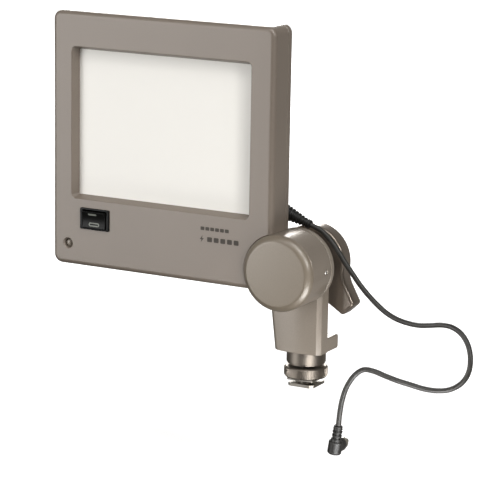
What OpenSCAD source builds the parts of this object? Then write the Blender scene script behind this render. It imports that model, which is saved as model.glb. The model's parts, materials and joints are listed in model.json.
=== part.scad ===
// Flat-panel electronic flash with a swing bracket, a camera-shoe foot and a sync cord.
// Frame: origin at the centre of the foot's underside, +Z up, the light faces -Y.

/* [Panel] */
// Width of the light panel
panel_w = 166; // [140:1:200]
// Height of the light panel
panel_h = 170; // [150:1:210]
// Thickness of the light panel
panel_t = 24.8; // [24:0.1:32]
// Radius of the panel's four corners seen from the front
panel_corner_r = 6; // [4.5:0.5:9]
// Rounding along the panel's edges
panel_edge_r = 3.4; // [2:0.1:4]
// Wall thickness of the two housing shells
wall = 2.4; // [2:0.1:3]
// Depth of the rear housing shell
rear_shell_t = 7; // [6:0.5:9]

/* [Window] */
// Width of the window opening at the front face
window_w = 134; // [110:1:150]
// Height of the window opening at the front face
window_h = 101; // [80:1:115]
// Panel border on the left of the window
window_left = 15; // [13:0.5:20]
// Panel border below the window
window_bottom = 45.6; // [44.5:0.1:55]
// Depth from the front face to the diffuser
window_depth = 6.5; // [4:0.5:8]
// How far each side of the recess leans in over its depth
window_draft = 2; // [1:0.5:3]
// Corner radius of the window opening
window_corner_r = 3; // [2:0.5:6]
// Thickness of the diffuser sheet
diffuser_t = 2; // [1.5:0.1:2.5]
// How far the diffuser reaches past the opening
diffuser_lap = 3; // [2:0.5:3.5]

/* [Swing hinge] */
// Height of the swing axis above the foot's underside
axis_z = 82.8; // [78:0.1:95]
// Diameter of the hinge barrel
barrel_d = 50; // [44:1:54]
// Distance from the panel's right side to the swing axis
panel_to_axis = 5.4; // [4:0.1:10]
// Distance from the panel's bottom up to the swing axis
bottom_to_axis = 13.4; // [10:0.1:16]
// Distance from the panel's front face back to the foot's centre
front_to_foot = 41.4; // [41:0.1:46]
// Thickness of the domed cap in front of the barrel
cap_t = 5; // [4:0.5:7]
// Rounding of the cap's rim
cap_edge_r = 4.5; // [3:0.5:4.5]
// Diameter of the hinge bolt
bolt_d = 8; // [6:0.5:10]
// Thickness of the friction washer between the knuckles
friction_t = 0.6; // [0.4:0.1:1]

/* [Bracket] */
// Width of the riser at its bottom
riser_w = 34; // [32:1:40]
// Thickness of the riser, front to rear
riser_t = 13; // [11:0.5:16]
// How much the riser's left flank leans out on its way up
riser_flare = 4.5; // [0:0.5:6]
// Chamfer on the riser's two front edges
riser_chamfer = 2.6; // [1:0.1:4]
// Thickness of the barrel-wide flange at the top of the riser
flange_t = 4; // [3:0.5:6]
// Height of the base block
block_h = 9.5; // [9:0.5:12]
// How far the base block reaches behind the foot's centre
block_back = 13; // [12:0.5:18]

/* [Clamp lever] */
// Diameter of the lever's hub
lever_hub_d = 48; // [36:1:50]
// Thickness of the lever
lever_t = 12; // [9:0.5:14]
// Reach of the lever's arm from its axis
lever_reach = 41; // [38:1:46]
// Width of the arm's tip
lever_tip_w = 13; // [8:1:16]
// Width of the arm at the hub
lever_root_w = 28; // [20:1:32]
// Direction of the arm at rest, below horizontal
lever_droop = 47; // [30:1:60]
// Length of the spacer in front of the lever
spacer_l = 6; // [5:0.5:8]

/* [Foot] */
// Width of the foot plate across the shoe rails
foot_w = 18.6; // [18:0.1:18.6]
// Length of the foot plate along the shoe
foot_l = 18; // [16:0.5:18]
// Thickness of the foot plate
foot_t = 2; // [1.8:0.1:2]
// Gap between foot plate and pressure plate when locked
rail_gap = 2; // [1.6:0.1:2]
// Diameter of the foot's stud
stud_d = 10; // [8:0.5:11]
// Thickness of the pressure plate
plate_t = 2; // [1.5:0.5:2.5]
// Diameter of the lock ring
ring_d = 29; // [24:0.5:34]
// Height of the lock ring
ring_h = 7.4; // [6:0.1:9]
// How far the lock ring rises when it is undone
ring_travel = 1.4; // [1:0.1:2]
// Diameter of the neck under the base block
neck_d = 26; // [20:0.5:30]
// Height of the neck
neck_h = 9.3; // [8:0.1:12]

/* [Batteries] */
// Diameter of one cell
cell_d = 14.2; // [13.8:0.1:14.5]
// Length of one cell
cell_l = 50; // [48:0.5:50.5]

/* [Controls] */
// Width of the power switch's frame
switch_w = 22.4; // [18:0.1:24]
// Height of the power switch's frame
switch_h = 14.4; // [12:0.1:16]
// Tilt of the rocker either side of level
rocker_tilt = 7; // [4:1:8]
// Diameter of the light sensor's hole
sensor_d = 6; // [4:0.5:7]
// Diameter of the test button
button_d = 7; // [5:0.5:9]
// Travel of the test button
button_travel = 0.8; // [0.5:0.1:1]
// Diameter of the ready lamp
lamp_d = 5; // [3:0.5:6]

/* [Cord] */
// Diameter of the sync cord
cord_d = 3.4; // [2.8:0.1:4]
// Diameter of the strain relief at its root
boot_root_d = 10; // [8:0.5:11]
// Diameter of the strain relief at its tip
boot_tip_d = 6; // [5:0.5:7]

/* [Hidden] */
$fn = 96;

// Fits: radial clearances, in millimetres
run_fit = 0.05;
seat_fit = 0.1;
eps = 0.01;

// Stations along Y, front to rear
y_front = -front_to_foot;
y_rear = y_front + panel_t;
y_split = y_rear - rear_shell_t;
y_in_front = y_front + wall;
y_in_rear = y_rear - wall;
y_diffuser = y_front + window_depth;
y_riser = y_rear + friction_t;
y_flange = y_riser + flange_t;
y_riser_back = y_riser + riser_t;
y_lever = y_riser_back + spacer_l;
lever_gap = 0.2;

// Panel outline
x_right = -panel_to_axis;
x_left = x_right - panel_w;
z_bottom = axis_z - bottom_to_axis;
z_top = z_bottom + panel_h;

// Window outline at the front face
wx0 = x_left + window_left;
wx1 = wx0 + window_w;
wz0 = z_bottom + window_bottom;
wz1 = wz0 + window_h;
bezel_wall = 1.6;
lap = diffuser_lap - window_draft;

// Hinge
barrel_r = barrel_d / 2;
knuckle_cut_r = barrel_r + seat_fit;
bolt_r = bolt_d / 2;
bolt_head_r = bolt_d * 0.95;
bolt_head_t = 4;
counterbore_r = bolt_head_r + 1.6;
spring_t = 1.2;
y_floor = y_front + 14;
y_bolt_head = y_floor - spring_t - bolt_head_t;

// Knuckle's tongue inside the panel
tongue_l = 42;
tongue_h = 22;
tongue_t = 2.6;
tongue_hole_x = [-barrel_r - 10, -barrel_r - 34];
small_screw_d = 2.6;
small_head_d = 5.2;

// Housing screws: places seen from the front
boss_r = 3;
boss_in = 7;
housing_screw_at = [
    [x_left + boss_in, z_bottom + 6.4],
    [x_left + boss_in, (wz0 + wz1) / 2],
    [x_left + boss_in, z_top - boss_in],
    [x_right - boss_in - 1, z_top - boss_in],
    [x_right - boss_in - 1, (wz0 + wz1) / 2],
    [wx0 + window_w / 2 + 2, wz0 - boss_r - 4.6]];
screw_head_t = 1.6;

// Battery bay: two rows of two cells, end to end
cell_gap = 0.4;
cell_r = cell_d / 2;
tray_wall = 0.9;
contact_t = 0.6;
spring_room = 3;
cells_x1 = -knuckle_cut_r - 1.2 - tray_wall - contact_t;
cells_x0 = cells_x1 - 2 * cell_l - cell_gap;
tray_z0 = z_bottom + wall + 0.2;
row_z = [tray_z0 + tray_wall + cell_r + 0.2, tray_z0 + tray_wall + 3 * cell_r + 0.2 + cell_gap];
tray_z1 = row_z[1] + cell_r + 0.2 + tray_wall;
tray_y1 = y_in_rear - 0.2;
cell_y = tray_y1 - cell_r - 0.2;
tray_y0 = cell_y - cell_r - tray_wall - 0.1;
door_x0 = cells_x0 - 2;
door_x1 = cells_x1 - 2;
door_z0 = z_bottom + panel_edge_r + 0.8;
door_z1 = tray_z1 - 0.2;
door_gap = 0.3;
door_t = wall - 0.2;
door_axis_y = y_rear - door_t / 2;
door_axis_z = door_z0 + door_t / 2;
door_pin_d = 1.2;
door_pin_in = 3;

// Top bay with the high-voltage parts
bay_z0 = wz1 - window_draft + diffuser_lap;
bay_z1 = z_top - wall;
bay_mid = (bay_z0 + bay_z1) / 2 + 0.4;
board_t = 1.6;
board_y1 = y_in_rear - 0.3;
board_y0 = board_y1 - board_t;
board_x0 = x_left + boss_in + 9;
board_x1 = x_right - boss_in - 10;
cap_r = 7.4;
cap_l = 44;

// Reflector: its floor stands clear of the board behind it
pan_skin = 0.8;
pan_floor_y = board_y0 - 1 - pan_skin;

// Controls
switch_x0 = x_left + 22;
switch_z0 = z_bottom + 25.6;
switch_mid = [switch_x0 + switch_w / 2, switch_z0 + switch_h / 2];
switch_lip = 1;
switch_inset = 1.2;
switch_depth = 5.6;
rocker_w = switch_w - 4.8;
rocker_h = switch_h - 3.4;
rocker_pin_r = 1;
rocker_y = y_front - 0.2;
sensor_at = [x_left + 12, z_bottom + 14.4];
button_at = [x_left + 26, z_bottom + 15];
lamp_at = [x_left + 14, z_bottom + 27];
tact_t = 3.4;
tact_y = y_split - 4.4;

// Cord outlet on the rear face and the strain relief that leaves it
outlet_x0 = -41;
outlet_x1 = -16.5;
outlet_z0 = axis_z + 25.2;
outlet_h = 17;
outlet_t = 15.2;
boot_y = -7;
boot_end = [4.5, boot_y, 109];
boot_start = [outlet_x1, boot_y, 116.5];

// Route of the cord from the strain relief's tip to the plug
cord_route = [
    [4.5, -7, 109],
    [12, -5.5, 105.5],
    [18, -4, 99.5],
    [23, -2.5, 92.5],
    [27.5, -1.5, 85.5],
    [32.5, -1, 79],
    [38, -1, 72.5],
    [44, -1, 66.5],
    [50.5, -1, 61],
    [57.5, -1.5, 56.5],
    [65.5, -2.5, 53.5],
    [74, -3, 52],
    [82.5, -4, 52],
    [91, -5.5, 53.5],
    [99, -6.5, 55],
    [107, -8.5, 55],
    [114.5, -10.5, 52],
    [120, -12.5, 46],
    [123, -15, 38.5],
    [123, -17, 30],
    [119.5, -19, 23],
    [113, -21.5, 18.5],
    [105, -24, 17],
    [96.5, -26, 17.5],
    [88.5, -28.5, 19.5],
    [81, -31, 21.5],
    [73, -33, 24],
    [66, -35, 26.5],
    [59.5, -37, 27],
    [54, -39, 22.5],
    [50, -41, 15],
    [48, -42.5, 7],
    [47, -43.5, -1.5],
    [46.5, -44, -10]];
cord_sides = 8;

// Plug: the cord enters from above, the contact points to +Y
plug_top = cord_route[len(cord_route) - 1];
plug_lean = 8;
plug_neck_d = 5.6;
plug_neck_l = 11;
plug_head_d = 9;
plug_head_l = 9;
plug_head_y = 8;
sleeve_d = 3.5;
sleeve_l = 4.5;
sleeve_wall = 0.3;
ferrule_d = 7.4;
ferrule_l = 3.5;
tip_d = 1.2;

// Bracket
z_block = neck_base() + neck_h;
z_block_top = z_block + block_h;
riser_hw = riser_w / 2;
riser_head_r = riser_hw + 2;

// Foot stack
z_plate = foot_t + rail_gap;
z_ring = z_plate + plate_t;
stud_in_block = block_h - 1.5;
foot_pin_d = 3;
function neck_base() = foot_t + rail_gap + plate_t + ring_h + ring_travel + 0.3;

// Extrudes an outline drawn as (X, Z) from y0 to y1
module across_y(y0, y1) {
    translate([0, y1, 0]) rotate([90, 0, 0]) linear_extrude(height = y1 - y0) children();
}

// A cylinder along Y about the point (x, z)
module post_y(x, z, y0, y1, r) {
    translate([x, y0, z]) rotate([-90, 0, 0]) cylinder(h = y1 - y0, r = r);
}

// A box between two corners
module block(a, b) {
    translate(a) cube(b - a);
}

// Rectangle with round corners between two corners
module round_rect(x0, z0, x1, z1, r) {
    translate([x0 + r, z0]) square([x1 - x0 - 2 * r, z1 - z0]);
    translate([x0, z0 + r]) square([x1 - x0, z1 - z0 - 2 * r]);
    for (x = [x0 + r, x1 - r], z = [z0 + r, z1 - r]) translate([x, z]) circle(r);
}

// Section of one panel corner: a disc with both rims rounded, spun about its axis
module corner_disc() {
    flat = panel_corner_r - panel_edge_r;
    rotate([-90, 0, 0]) rotate_extrude($fn = 32) {
        square([flat, panel_t]);
        translate([0, panel_edge_r]) square([panel_corner_r, panel_t - 2 * panel_edge_r]);
        for (y = [panel_edge_r, panel_t - panel_edge_r]) intersection() {
            translate([flat, y]) circle(panel_edge_r);
            square([panel_corner_r, panel_t]);
        }
    }
}

// The panel's whole outer shape
module panel_blank() {
    hull() for (x = [x_left + panel_corner_r, x_right - panel_corner_r],
        z = [z_bottom + panel_corner_r, z_top - panel_corner_r])
        translate([x, y_front, z]) corner_disc();
}

// The panel's inner space between two stations
module cavity(y0, y1) {
    across_y(y0, y1) round_rect(x_left + wall, z_bottom + wall, x_right - wall, z_top - wall,
        panel_corner_r - wall);
}

// The window's tapered space, grown by g on every side
module window_space(g) {
    hull() {
        across_y(y_front - 2 * eps, y_front) round_rect(wx0 - g, wz0 - g, wx1 + g, wz1 + g, window_corner_r + g);
        across_y(y_diffuser - eps, y_diffuser) round_rect(wx0 + window_draft - g, wz0 + window_draft - g,
            wx1 - window_draft + g, wz1 - window_draft + g, window_corner_r + g);
    }
}

module front_housing() {
    color("#9c9286") difference() {
        union() {
            difference() {
                intersection() {
                    panel_blank();
                    block([x_left - 1, y_front - 1, z_bottom - 1], [x_right + 1, y_split, z_top + 1]);
                }
                cavity(y_in_front, y_split + eps);
            }
            intersection() {
                window_space(bezel_wall);
                block([x_left, y_front + wall / 2, z_bottom], [x_right, y_diffuser, z_top]);
            }
            for (p = housing_screw_at) post_y(p[0], p[1], y_in_front - eps, y_split, boss_r);
        }
        window_space(0);
        post_y(0, axis_z, y_front - 1, y_split + 1, knuckle_cut_r);
        for (p = housing_screw_at) post_y(p[0], p[1], y_in_front, y_split + eps, small_screw_d / 2 + run_fit);
        block([switch_x0 + switch_inset - seat_fit, y_front - 1, switch_z0 + switch_inset - seat_fit],
            [switch_x0 + switch_w - switch_inset + seat_fit, y_in_front + 1,
            switch_z0 + switch_h - switch_inset + seat_fit]);
        post_y(sensor_at[0], sensor_at[1], y_front - 1, y_in_front + 1, sensor_d / 2);
    }
}

module rear_housing() {
    color("#978c80") difference() {
        union() {
            difference() {
                intersection() {
                    panel_blank();
                    block([x_left - 1, y_split, z_bottom - 1], [x_right + 1, y_rear + 1, z_top + 1]);
                }
                cavity(y_split - eps, y_in_rear);
            }
            for (p = housing_screw_at) post_y(p[0], p[1], y_split, y_in_rear + eps, boss_r);
        }
        post_y(0, axis_z, y_split - 1, y_rear + 1, knuckle_cut_r);
        for (p = housing_screw_at) {
            post_y(p[0], p[1], y_split - eps, y_rear + 1, small_screw_d / 2 + run_fit);
            post_y(p[0], p[1], y_rear - screw_head_t, y_rear + 1, small_head_d / 2 + seat_fit);
        }
        block([door_x0 - door_gap, y_in_rear - 1, door_z0 - door_gap],
            [door_x1 + door_gap, y_rear + 1, door_z1 + door_gap]);
        translate([door_x0 - door_pin_in, door_axis_y, door_axis_z]) rotate([0, 90, 0])
            cylinder(h = door_x1 - door_x0 + 2 * door_pin_in, r = door_pin_d / 2, $fn = 32);
        post_y(button_at[0], button_at[1], y_in_rear - 1, y_rear + 1, button_d / 2 + seat_fit);
        post_y(lamp_at[0], lamp_at[1], y_in_rear - 1, y_rear + 1, lamp_d / 2);
    }
}

module diffuser_panel() {
    color("#edeae3") across_y(y_diffuser, y_diffuser + diffuser_t)
        round_rect(wx0 - lap, wz0 - lap, wx1 + lap, wz1 + lap, window_corner_r);
}

// Shallow tray with leaning sides and a flange against the diffuser
module reflector_pan() {
    y0 = y_diffuser + diffuser_t;
    depth = pan_floor_y + pan_skin - y0;
    lean = 16;
    color("#d9d9d6") {
        difference() {
            union() {
                across_y(y0, y0 + pan_skin) round_rect(wx0 - lap, wz0 - lap, wx1 + lap, wz1 + lap, window_corner_r);
                hull() {
                    across_y(y0, y0 + pan_skin) round_rect(wx0 + 2, wz0 + 2, wx1 - 2, wz1 - 2, window_corner_r);
                    across_y(y0 + depth - pan_skin, y0 + depth)
                        round_rect(wx0 + lean, wz0 + lean, wx1 - lean, wz1 - lean, window_corner_r);
                }
            }
            hull() {
                across_y(y0 - eps, y0) round_rect(wx0 + 3, wz0 + 3, wx1 - 3, wz1 - 3, window_corner_r);
                across_y(y0 + depth - pan_skin - eps, y0 + depth - pan_skin)
                    round_rect(wx0 + lean, wz0 + lean, wx1 - lean, wz1 - lean, window_corner_r);
            }
        }
    }
}

tube_r = 2.5;
tube_hl = 44;
tube_y = pan_floor_y - 3.6;
tube_x = (wx0 + wx1) / 2;
tube_z = (wz0 + wz1) / 2;
holder_w = 6;

module flash_tube() {
    color("#e6ecee") translate([tube_x - tube_hl, tube_y, tube_z]) rotate([0, 90, 0])
        cylinder(h = 2 * tube_hl, r = tube_r);
}

// Two blocks that stand on the reflector's floor and carry the tube's ends
module tube_holders() {
    color("#e8e6df") for (side = [-1, 1]) difference() {
        translate([tube_x + side * (tube_hl - holder_w / 2 - 0.5) - holder_w / 2, tube_y - 4, tube_z - 5])
            cube([holder_w, pan_floor_y - tube_y + 4, 10]);
        translate([tube_x - tube_hl - 1, tube_y, tube_z]) rotate([0, 90, 0])
            cylinder(h = 2 * tube_hl + 2, r = tube_r + run_fit);
    }
}

module main_board() {
    color("#2f5a3a") block([board_x0, board_y0, bay_z0 + 1], [board_x1, board_y1, bay_z1 - 0.8]);
}

module main_capacitors() {
    color("#2b2f38") for (i = [0, 1])
        translate([board_x0 + 4 + i * (cap_l + 4), board_y0 - cap_r - 0.1, bay_mid]) rotate([0, 90, 0])
            cylinder(h = cap_l, r = cap_r);
}

module transformer() {
    x0 = board_x0 + 2 * (cap_l + 4) + 6;
    color("#c9b26a") {
        block([x0, board_y0 - 12, bay_mid - 6], [x0 + 3, board_y0, bay_mid + 6]);
        block([x0 + 3, board_y0 - 10.5, bay_mid - 4.5], [x0 + 12, board_y0 - 1.5, bay_mid + 4.5]);
        block([x0 + 12, board_y0 - 12, bay_mid - 6], [x0 + 15, board_y0, bay_mid + 6]);
    }
}

module trigger_coil() {
    color("#b5532a") translate([board_x1 - 5, board_y0 - 4, bay_mid - 5]) cylinder(h = 10, r = 3.6);
}

module sensor_board() {
    color("#2f5a3a") block([x_left + boss_in + boss_r + 0.6, tact_y - tact_t - board_t, z_bottom + 6],
        [cells_x0 - spring_room - 2 * tray_wall - 1, tact_y - tact_t, z_bottom + 38]);
}

// Small push switch that the test button works
module tact_switch() {
    color("#222222") {
        block([button_at[0] - 3, tact_y - tact_t, button_at[1] - 3],
            [button_at[0] + 3, tact_y, button_at[1] + 3]);
        post_y(button_at[0], button_at[1], tact_y - eps, tact_y + 0.8, 1.6);
    }
}

module sensor_holder() {
    color("#1f1f1e") difference() {
        post_y(sensor_at[0], sensor_at[1], y_in_front, tact_y - tact_t - board_t, sensor_d / 2 + 1);
        post_y(sensor_at[0], sensor_at[1], y_in_front - 1, tact_y - tact_t - board_t - 1, sensor_d / 2 - 0.4);
    }
}

module sensor_lens() {
    color("#3a2a30") post_y(sensor_at[0], sensor_at[1], y_in_front + 0.4, y_in_front + 2.4,
        sensor_d / 2 - 0.4 - run_fit);
}

module switch_frame() {
    x1 = switch_x0 + switch_w;
    z1 = switch_z0 + switch_h;
    hole_w = rocker_w + 0.6;
    hole_h = rocker_h + 0.9;
    color("#1a1a17") difference() {
        union() {
            across_y(y_front - switch_lip, y_front) round_rect(switch_x0, switch_z0, x1, z1, 0.8);
            block([switch_x0 + switch_inset, y_front - eps, switch_z0 + switch_inset],
                [x1 - switch_inset, y_front + switch_depth, z1 - switch_inset]);
        }
        block([switch_mid[0] - hole_w / 2, y_front - 2, switch_mid[1] - hole_h / 2],
            [switch_mid[0] + hole_w / 2, y_front + switch_depth - 1, switch_mid[1] + hole_h / 2]);
        translate([switch_mid[0] - hole_w / 2 - 1, rocker_y, switch_mid[1]]) rotate([0, 90, 0])
            cylinder(h = hole_w + 2, r = rocker_pin_r + run_fit);
    }
}

// Shallow V seen from the side, pivoting on a pin along X, with its lower half pressed in
module rocker() {
    h = rocker_h / 2;
    color("#1d1d1a") translate([switch_mid[0] - rocker_w / 2, rocker_y, switch_mid[1]])
        rotate([rocker_tilt, 0, 0]) {
            rotate([90, 0, 90]) linear_extrude(height = rocker_w)
                polygon([[-2.5, h], [-1.5, 0], [-2.5, -h], [0, -h], [2.6, -h / 2], [2.6, h / 2], [0, h]]);
            translate([-1, 0, 0]) rotate([0, 90, 0]) cylinder(h = rocker_w + 2, r = rocker_pin_r);
        }
}

module test_button() {
    proud = 1.2;
    color("#26262a") {
        post_y(button_at[0], button_at[1], y_in_rear - 2.2, y_rear + proud, button_d / 2);
        post_y(button_at[0], button_at[1], y_in_rear - 2.2, y_in_rear - 1, button_d / 2 + 1);
        post_y(button_at[0], button_at[1], tact_y + 0.8 + button_travel + 0.1, y_in_rear - 2.2 + eps, 1.4);
    }
}

module ready_lamp() {
    color("#d8622a") {
        post_y(lamp_at[0], lamp_at[1], y_in_rear - 3, y_rear + 0.6, lamp_d / 2 - run_fit);
        post_y(lamp_at[0], lamp_at[1], y_in_rear - 3, y_in_rear, lamp_d / 2 + 1);
    }
}

module battery_tray() {
    x0 = cells_x0 - spring_room - tray_wall;
    x1 = cells_x1 + contact_t + tray_wall;
    color("#33322f") difference() {
        block([x0, tray_y0, tray_z0], [x1, tray_y1, tray_z1]);
        block([x0 + tray_wall, tray_y0 + tray_wall, tray_z0 + tray_wall],
            [x1 - tray_wall, tray_y1 + 1, tray_z1 - tray_wall]);
    }
}

module battery_cells() {
    color("#4b6a8c") for (z = row_z, i = [0, 1])
        translate([cells_x0 + i * (cell_l + cell_gap), cell_y, z]) rotate([0, 90, 0]) {
            cylinder(h = cell_l - 1.6, r = cell_r);
            cylinder(h = cell_l, r = 2.6);
        }
}

// A spring plate at one end of each row and a flat plate across the other end
module battery_contacts() {
    color("#c8c6bd") {
        for (z = row_z) translate([cells_x0 - spring_room, cell_y, z]) rotate([0, 90, 0]) {
            cylinder(h = contact_t, r = 5);
            cylinder(h = spring_room - 0.1, r = 2.4);
        }
        block([cells_x1 + 0.05, cell_y - 5, row_z[0] - 5], [cells_x1 + contact_t, cell_y + 5, row_z[1] + 5]);
    }
}

// Flat door that hinges on its lower edge, with thumb ridges near its top
module battery_door() {
    ridge = 0.5;
    r = door_t / 2;
    color("#978c80") difference() {
        union() {
            block([door_x0, y_rear - door_t, door_axis_z], [door_x1, y_rear, door_z1]);
            translate([door_x0, door_axis_y, door_axis_z]) rotate([0, 90, 0])
                cylinder(h = door_x1 - door_x0, r = r);
            for (i = [0:3]) block([(door_x0 + door_x1) / 2 - 10, y_rear - eps, door_z1 - 3 - 2 * i],
                [(door_x0 + door_x1) / 2 + 10, y_rear + ridge, door_z1 - 2 - 2 * i]);
        }
        translate([door_x0 - 1, door_axis_y, door_axis_z]) rotate([0, 90, 0])
            cylinder(h = door_x1 - door_x0 + 2, r = door_pin_d / 2 + run_fit, $fn = 32);
    }
}

module door_pin() {
    color("#b8b8b4") translate([door_x0 - door_pin_in + 0.1, door_axis_y, door_axis_z]) rotate([0, 90, 0])
        cylinder(h = door_x1 - door_x0 + 2 * door_pin_in - 0.2, r = door_pin_d / 2, $fn = 32);
}

module housing_screws() {
    color("#8d8a84") for (p = housing_screw_at) difference() {
        union() {
            post_y(p[0], p[1], y_split - 8, y_rear - screw_head_t + eps, small_screw_d / 2);
            post_y(p[0], p[1], y_rear - screw_head_t, y_rear - 0.2, small_head_d / 2);
        }
        for (a = [0, 90]) translate([p[0], y_rear - 0.2, p[1]]) rotate([0, a, 0])
            translate([-1.6, -0.8, -0.35]) cube([3.2, 1, 0.7]);
    }
}

// Casting that fills the panel's corner and turns on the bolt, with a tongue into the housing
module head_knuckle() {
    color("#998f7f") difference() {
        union() {
            post_y(0, axis_z, y_front, y_rear, barrel_r);
            block([-barrel_r - tongue_l, y_in_front + 0.1, axis_z - tongue_h / 2],
                [-barrel_r + 6, y_in_front + 0.1 + tongue_t, axis_z + tongue_h / 2]);
        }
        post_y(0, axis_z, y_front - 1, y_floor, counterbore_r);
        post_y(0, axis_z, y_floor - 1, y_rear + 1, bolt_r + run_fit);
        for (x = tongue_hole_x) post_y(x, axis_z, y_in_front, y_in_front + tongue_t + 1,
            small_screw_d / 2 + run_fit);
        translate([barrel_r - 8, y_rear - 6.4, axis_z]) rotate([0, 90, 0])
            cylinder(h = 9, r = 1.5 + run_fit);
    }
}

module knuckle_screws() {
    y0 = y_in_front + 0.1;
    color("#8d8a84") for (x = tongue_hole_x) {
        post_y(x, axis_z, y0 - eps, y0 + tongue_t + eps, small_screw_d / 2);
        post_y(x, axis_z, y0 + tongue_t, y0 + tongue_t + 0.9, small_head_d / 2);
    }
}

module set_screw() {
    color("#f0eee8") translate([barrel_r - 7.5, y_rear - 6.4, axis_z]) rotate([0, 90, 0]) difference() {
        cylinder(h = 7.1, r = 1.5);
        translate([0, 0, 5.6]) cylinder(h = 3, r = 0.75, $fn = 6);
    }
}

// Cap with a rounded rim and a spigot that plugs the counterbore
module hinge_cap() {
    color("#998f7f") translate([0, y_front, axis_z]) rotate([90, 0, 0]) {
        rotate_extrude() {
            square([barrel_r, cap_t - cap_edge_r]);
            square([barrel_r - cap_edge_r, cap_t]);
            intersection() {
                translate([barrel_r - cap_edge_r, cap_t - cap_edge_r]) circle(cap_edge_r);
                square([barrel_r, cap_t]);
            }
        }
        translate([0, 0, -5]) cylinder(h = 5 + eps, r = counterbore_r - seat_fit);
    }
}

module cord_outlet() {
    r = 2.5;
    d = boot_start - boot_end;
    color("#8f8579") difference() {
        hull() {
            across_y(y_rear, y_rear + 1) round_rect(outlet_x0, outlet_z0, outlet_x1, outlet_z0 + outlet_h, r);
            across_y(y_rear + outlet_t - r, y_rear + outlet_t)
                round_rect(outlet_x0 + r, outlet_z0 + r, outlet_x1, outlet_z0 + outlet_h - r, r);
        }
        translate(boot_start) rotate([0, boot_pitch(), 0]) translate([0, 0, -9])
            cylinder(h = 14, r = boot_root_d / 2 - 1.4 + seat_fit);
    }
}

// Angle that turns +Z onto the strain relief's direction in the XZ plane
function boot_pitch() = atan2(boot_end[0] - boot_start[0], boot_end[2] - boot_start[2]);
function boot_len() = norm(boot_end - boot_start);

// Tapered strain relief with ribs and a root that plugs into the outlet
module cord_boot() {
    l = boot_len();
    n = 6;
    ring_l = 1.6;
    pitch = (l - 4) / n;
    color("#1d1b18") translate(boot_start) rotate([0, boot_pitch(), 0]) {
        translate([0, 0, -8]) cylinder(h = 8.5 + boot_shift(), r = boot_root_d / 2 - 1.4);
        difference() {
            translate([0, 0, boot_shift()]) cylinder(h = l - boot_shift(), r1 = boot_root_d / 2, r2 = boot_tip_d / 2);
            for (i = [1:n - 1]) translate([0, 0, 2 + i * pitch]) difference() {
                cylinder(h = ring_l, r = boot_root_d);
                cylinder(h = ring_l, r = boot_tip_d / 2 - 0.6);
            }
        }
    }
}

// The relief's full diameter starts clear of the outlet's face, which its axis meets at an angle
function boot_shift() = boot_root_d / 2 * abs(cos(boot_pitch()) / sin(boot_pitch())) + 0.2;

// Direction of the route at point i; its ends follow the strain relief and the plug
function heading(p, i) =
    i == 0 ? (boot_end - boot_start) / boot_len() :
    i == len(p) - 1 ? [-sin(plug_lean), 0, -cos(plug_lean)] :
    (p[i + 1] - p[i - 1]) / norm(p[i + 1] - p[i - 1]);

// One ring of the tube, square to the route at point i
function ring_at(p, i, r, sides) = let (
    t = heading(p, i),
    u = cross(t, [0, 1, 0]) / norm(cross(t, [0, 1, 0])),
    v = cross(t, u))
    [for (k = [0:sides - 1]) p[i] + r * (cos(360 * k / sides) * u + sin(360 * k / sides) * v)];

// Closed tube along a route
module tube_along(p, r, sides) {
    n = len(p);
    points = [for (i = [0:n - 1]) each ring_at(p, i, r, sides)];
    walls = [for (i = [0:n - 2], k = [0:sides - 1]) let (m = (k + 1) % sides)
        [i * sides + k, i * sides + m, (i + 1) * sides + m, (i + 1) * sides + k]];
    first = [[for (k = [sides - 1:-1:0]) k]];
    last = [[for (k = [0:sides - 1]) (n - 1) * sides + k]];
    polyhedron(points, concat(first, walls, last));
}

module sync_cord() {
    color("#3b3835") tube_along(cord_route, cord_d / 2, cord_sides);
}

// Everything on the plug is drawn from the cord's last point, in the plug's leaning frame
module at_plug() {
    translate(plug_top) rotate([0, plug_lean, 0]) children();
}

module plug_body() {
    color("#1b1a18") at_plug() {
        translate([0, 0, -plug_neck_l]) cylinder(h = plug_neck_l, r1 = plug_neck_d / 2 + 0.8, r2 = plug_neck_d / 2);
        translate([0, 0, -plug_neck_l - plug_head_l + 1]) cylinder(h = plug_head_l, r = plug_head_d / 2);
        translate([0, 0, -plug_neck_l - plug_head_l / 2 + 1]) rotate([-90, 0, 0])
            cylinder(h = plug_head_y, r = plug_head_d / 2);
    }
}

module plug_sleeve() {
    color("#c9c7c0") at_plug() translate([0, plug_head_y, -plug_neck_l - plug_head_l / 2 + 1]) rotate([-90, 0, 0])
        difference() {
            union() {
                cylinder(h = ferrule_l, r = ferrule_d / 2);
                cylinder(h = ferrule_l + sleeve_l, r = sleeve_d / 2);
            }
            translate([0, 0, ferrule_l - 1]) cylinder(h = sleeve_l + 2, r = sleeve_d / 2 - sleeve_wall);
        }
}

module plug_pin() {
    color("#d8c27a") at_plug() translate([0, plug_head_y + ferrule_l - 1, -plug_neck_l - plug_head_l / 2 + 1])
        rotate([-90, 0, 0]) cylinder(h = sleeve_l + 0.4, r = tip_d / 2, $fn = 32);
}

module hinge_bolt() {
    color("#a9a8a3") {
        post_y(0, axis_z, y_bolt_head, y_bolt_head + bolt_head_t, bolt_head_r);
        post_y(0, axis_z, y_bolt_head + bolt_head_t - eps, y_lever + lever_gap + lever_t - 1, bolt_r);
    }
}

// A plain ring, a hair wider than the bolt
module washer(y0, y1, r) {
    difference() {
        post_y(0, axis_z, y0, y1, r);
        post_y(0, axis_z, y0 - 1, y1 + 1, bolt_r + run_fit);
    }
}

module spring_washer() {
    color("#6f6e6a") washer(y_floor - spring_t, y_floor, bolt_head_r);
}

module friction_washer() {
    color("#3a3733") washer(y_rear, y_riser, barrel_r - 6);
}

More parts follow.
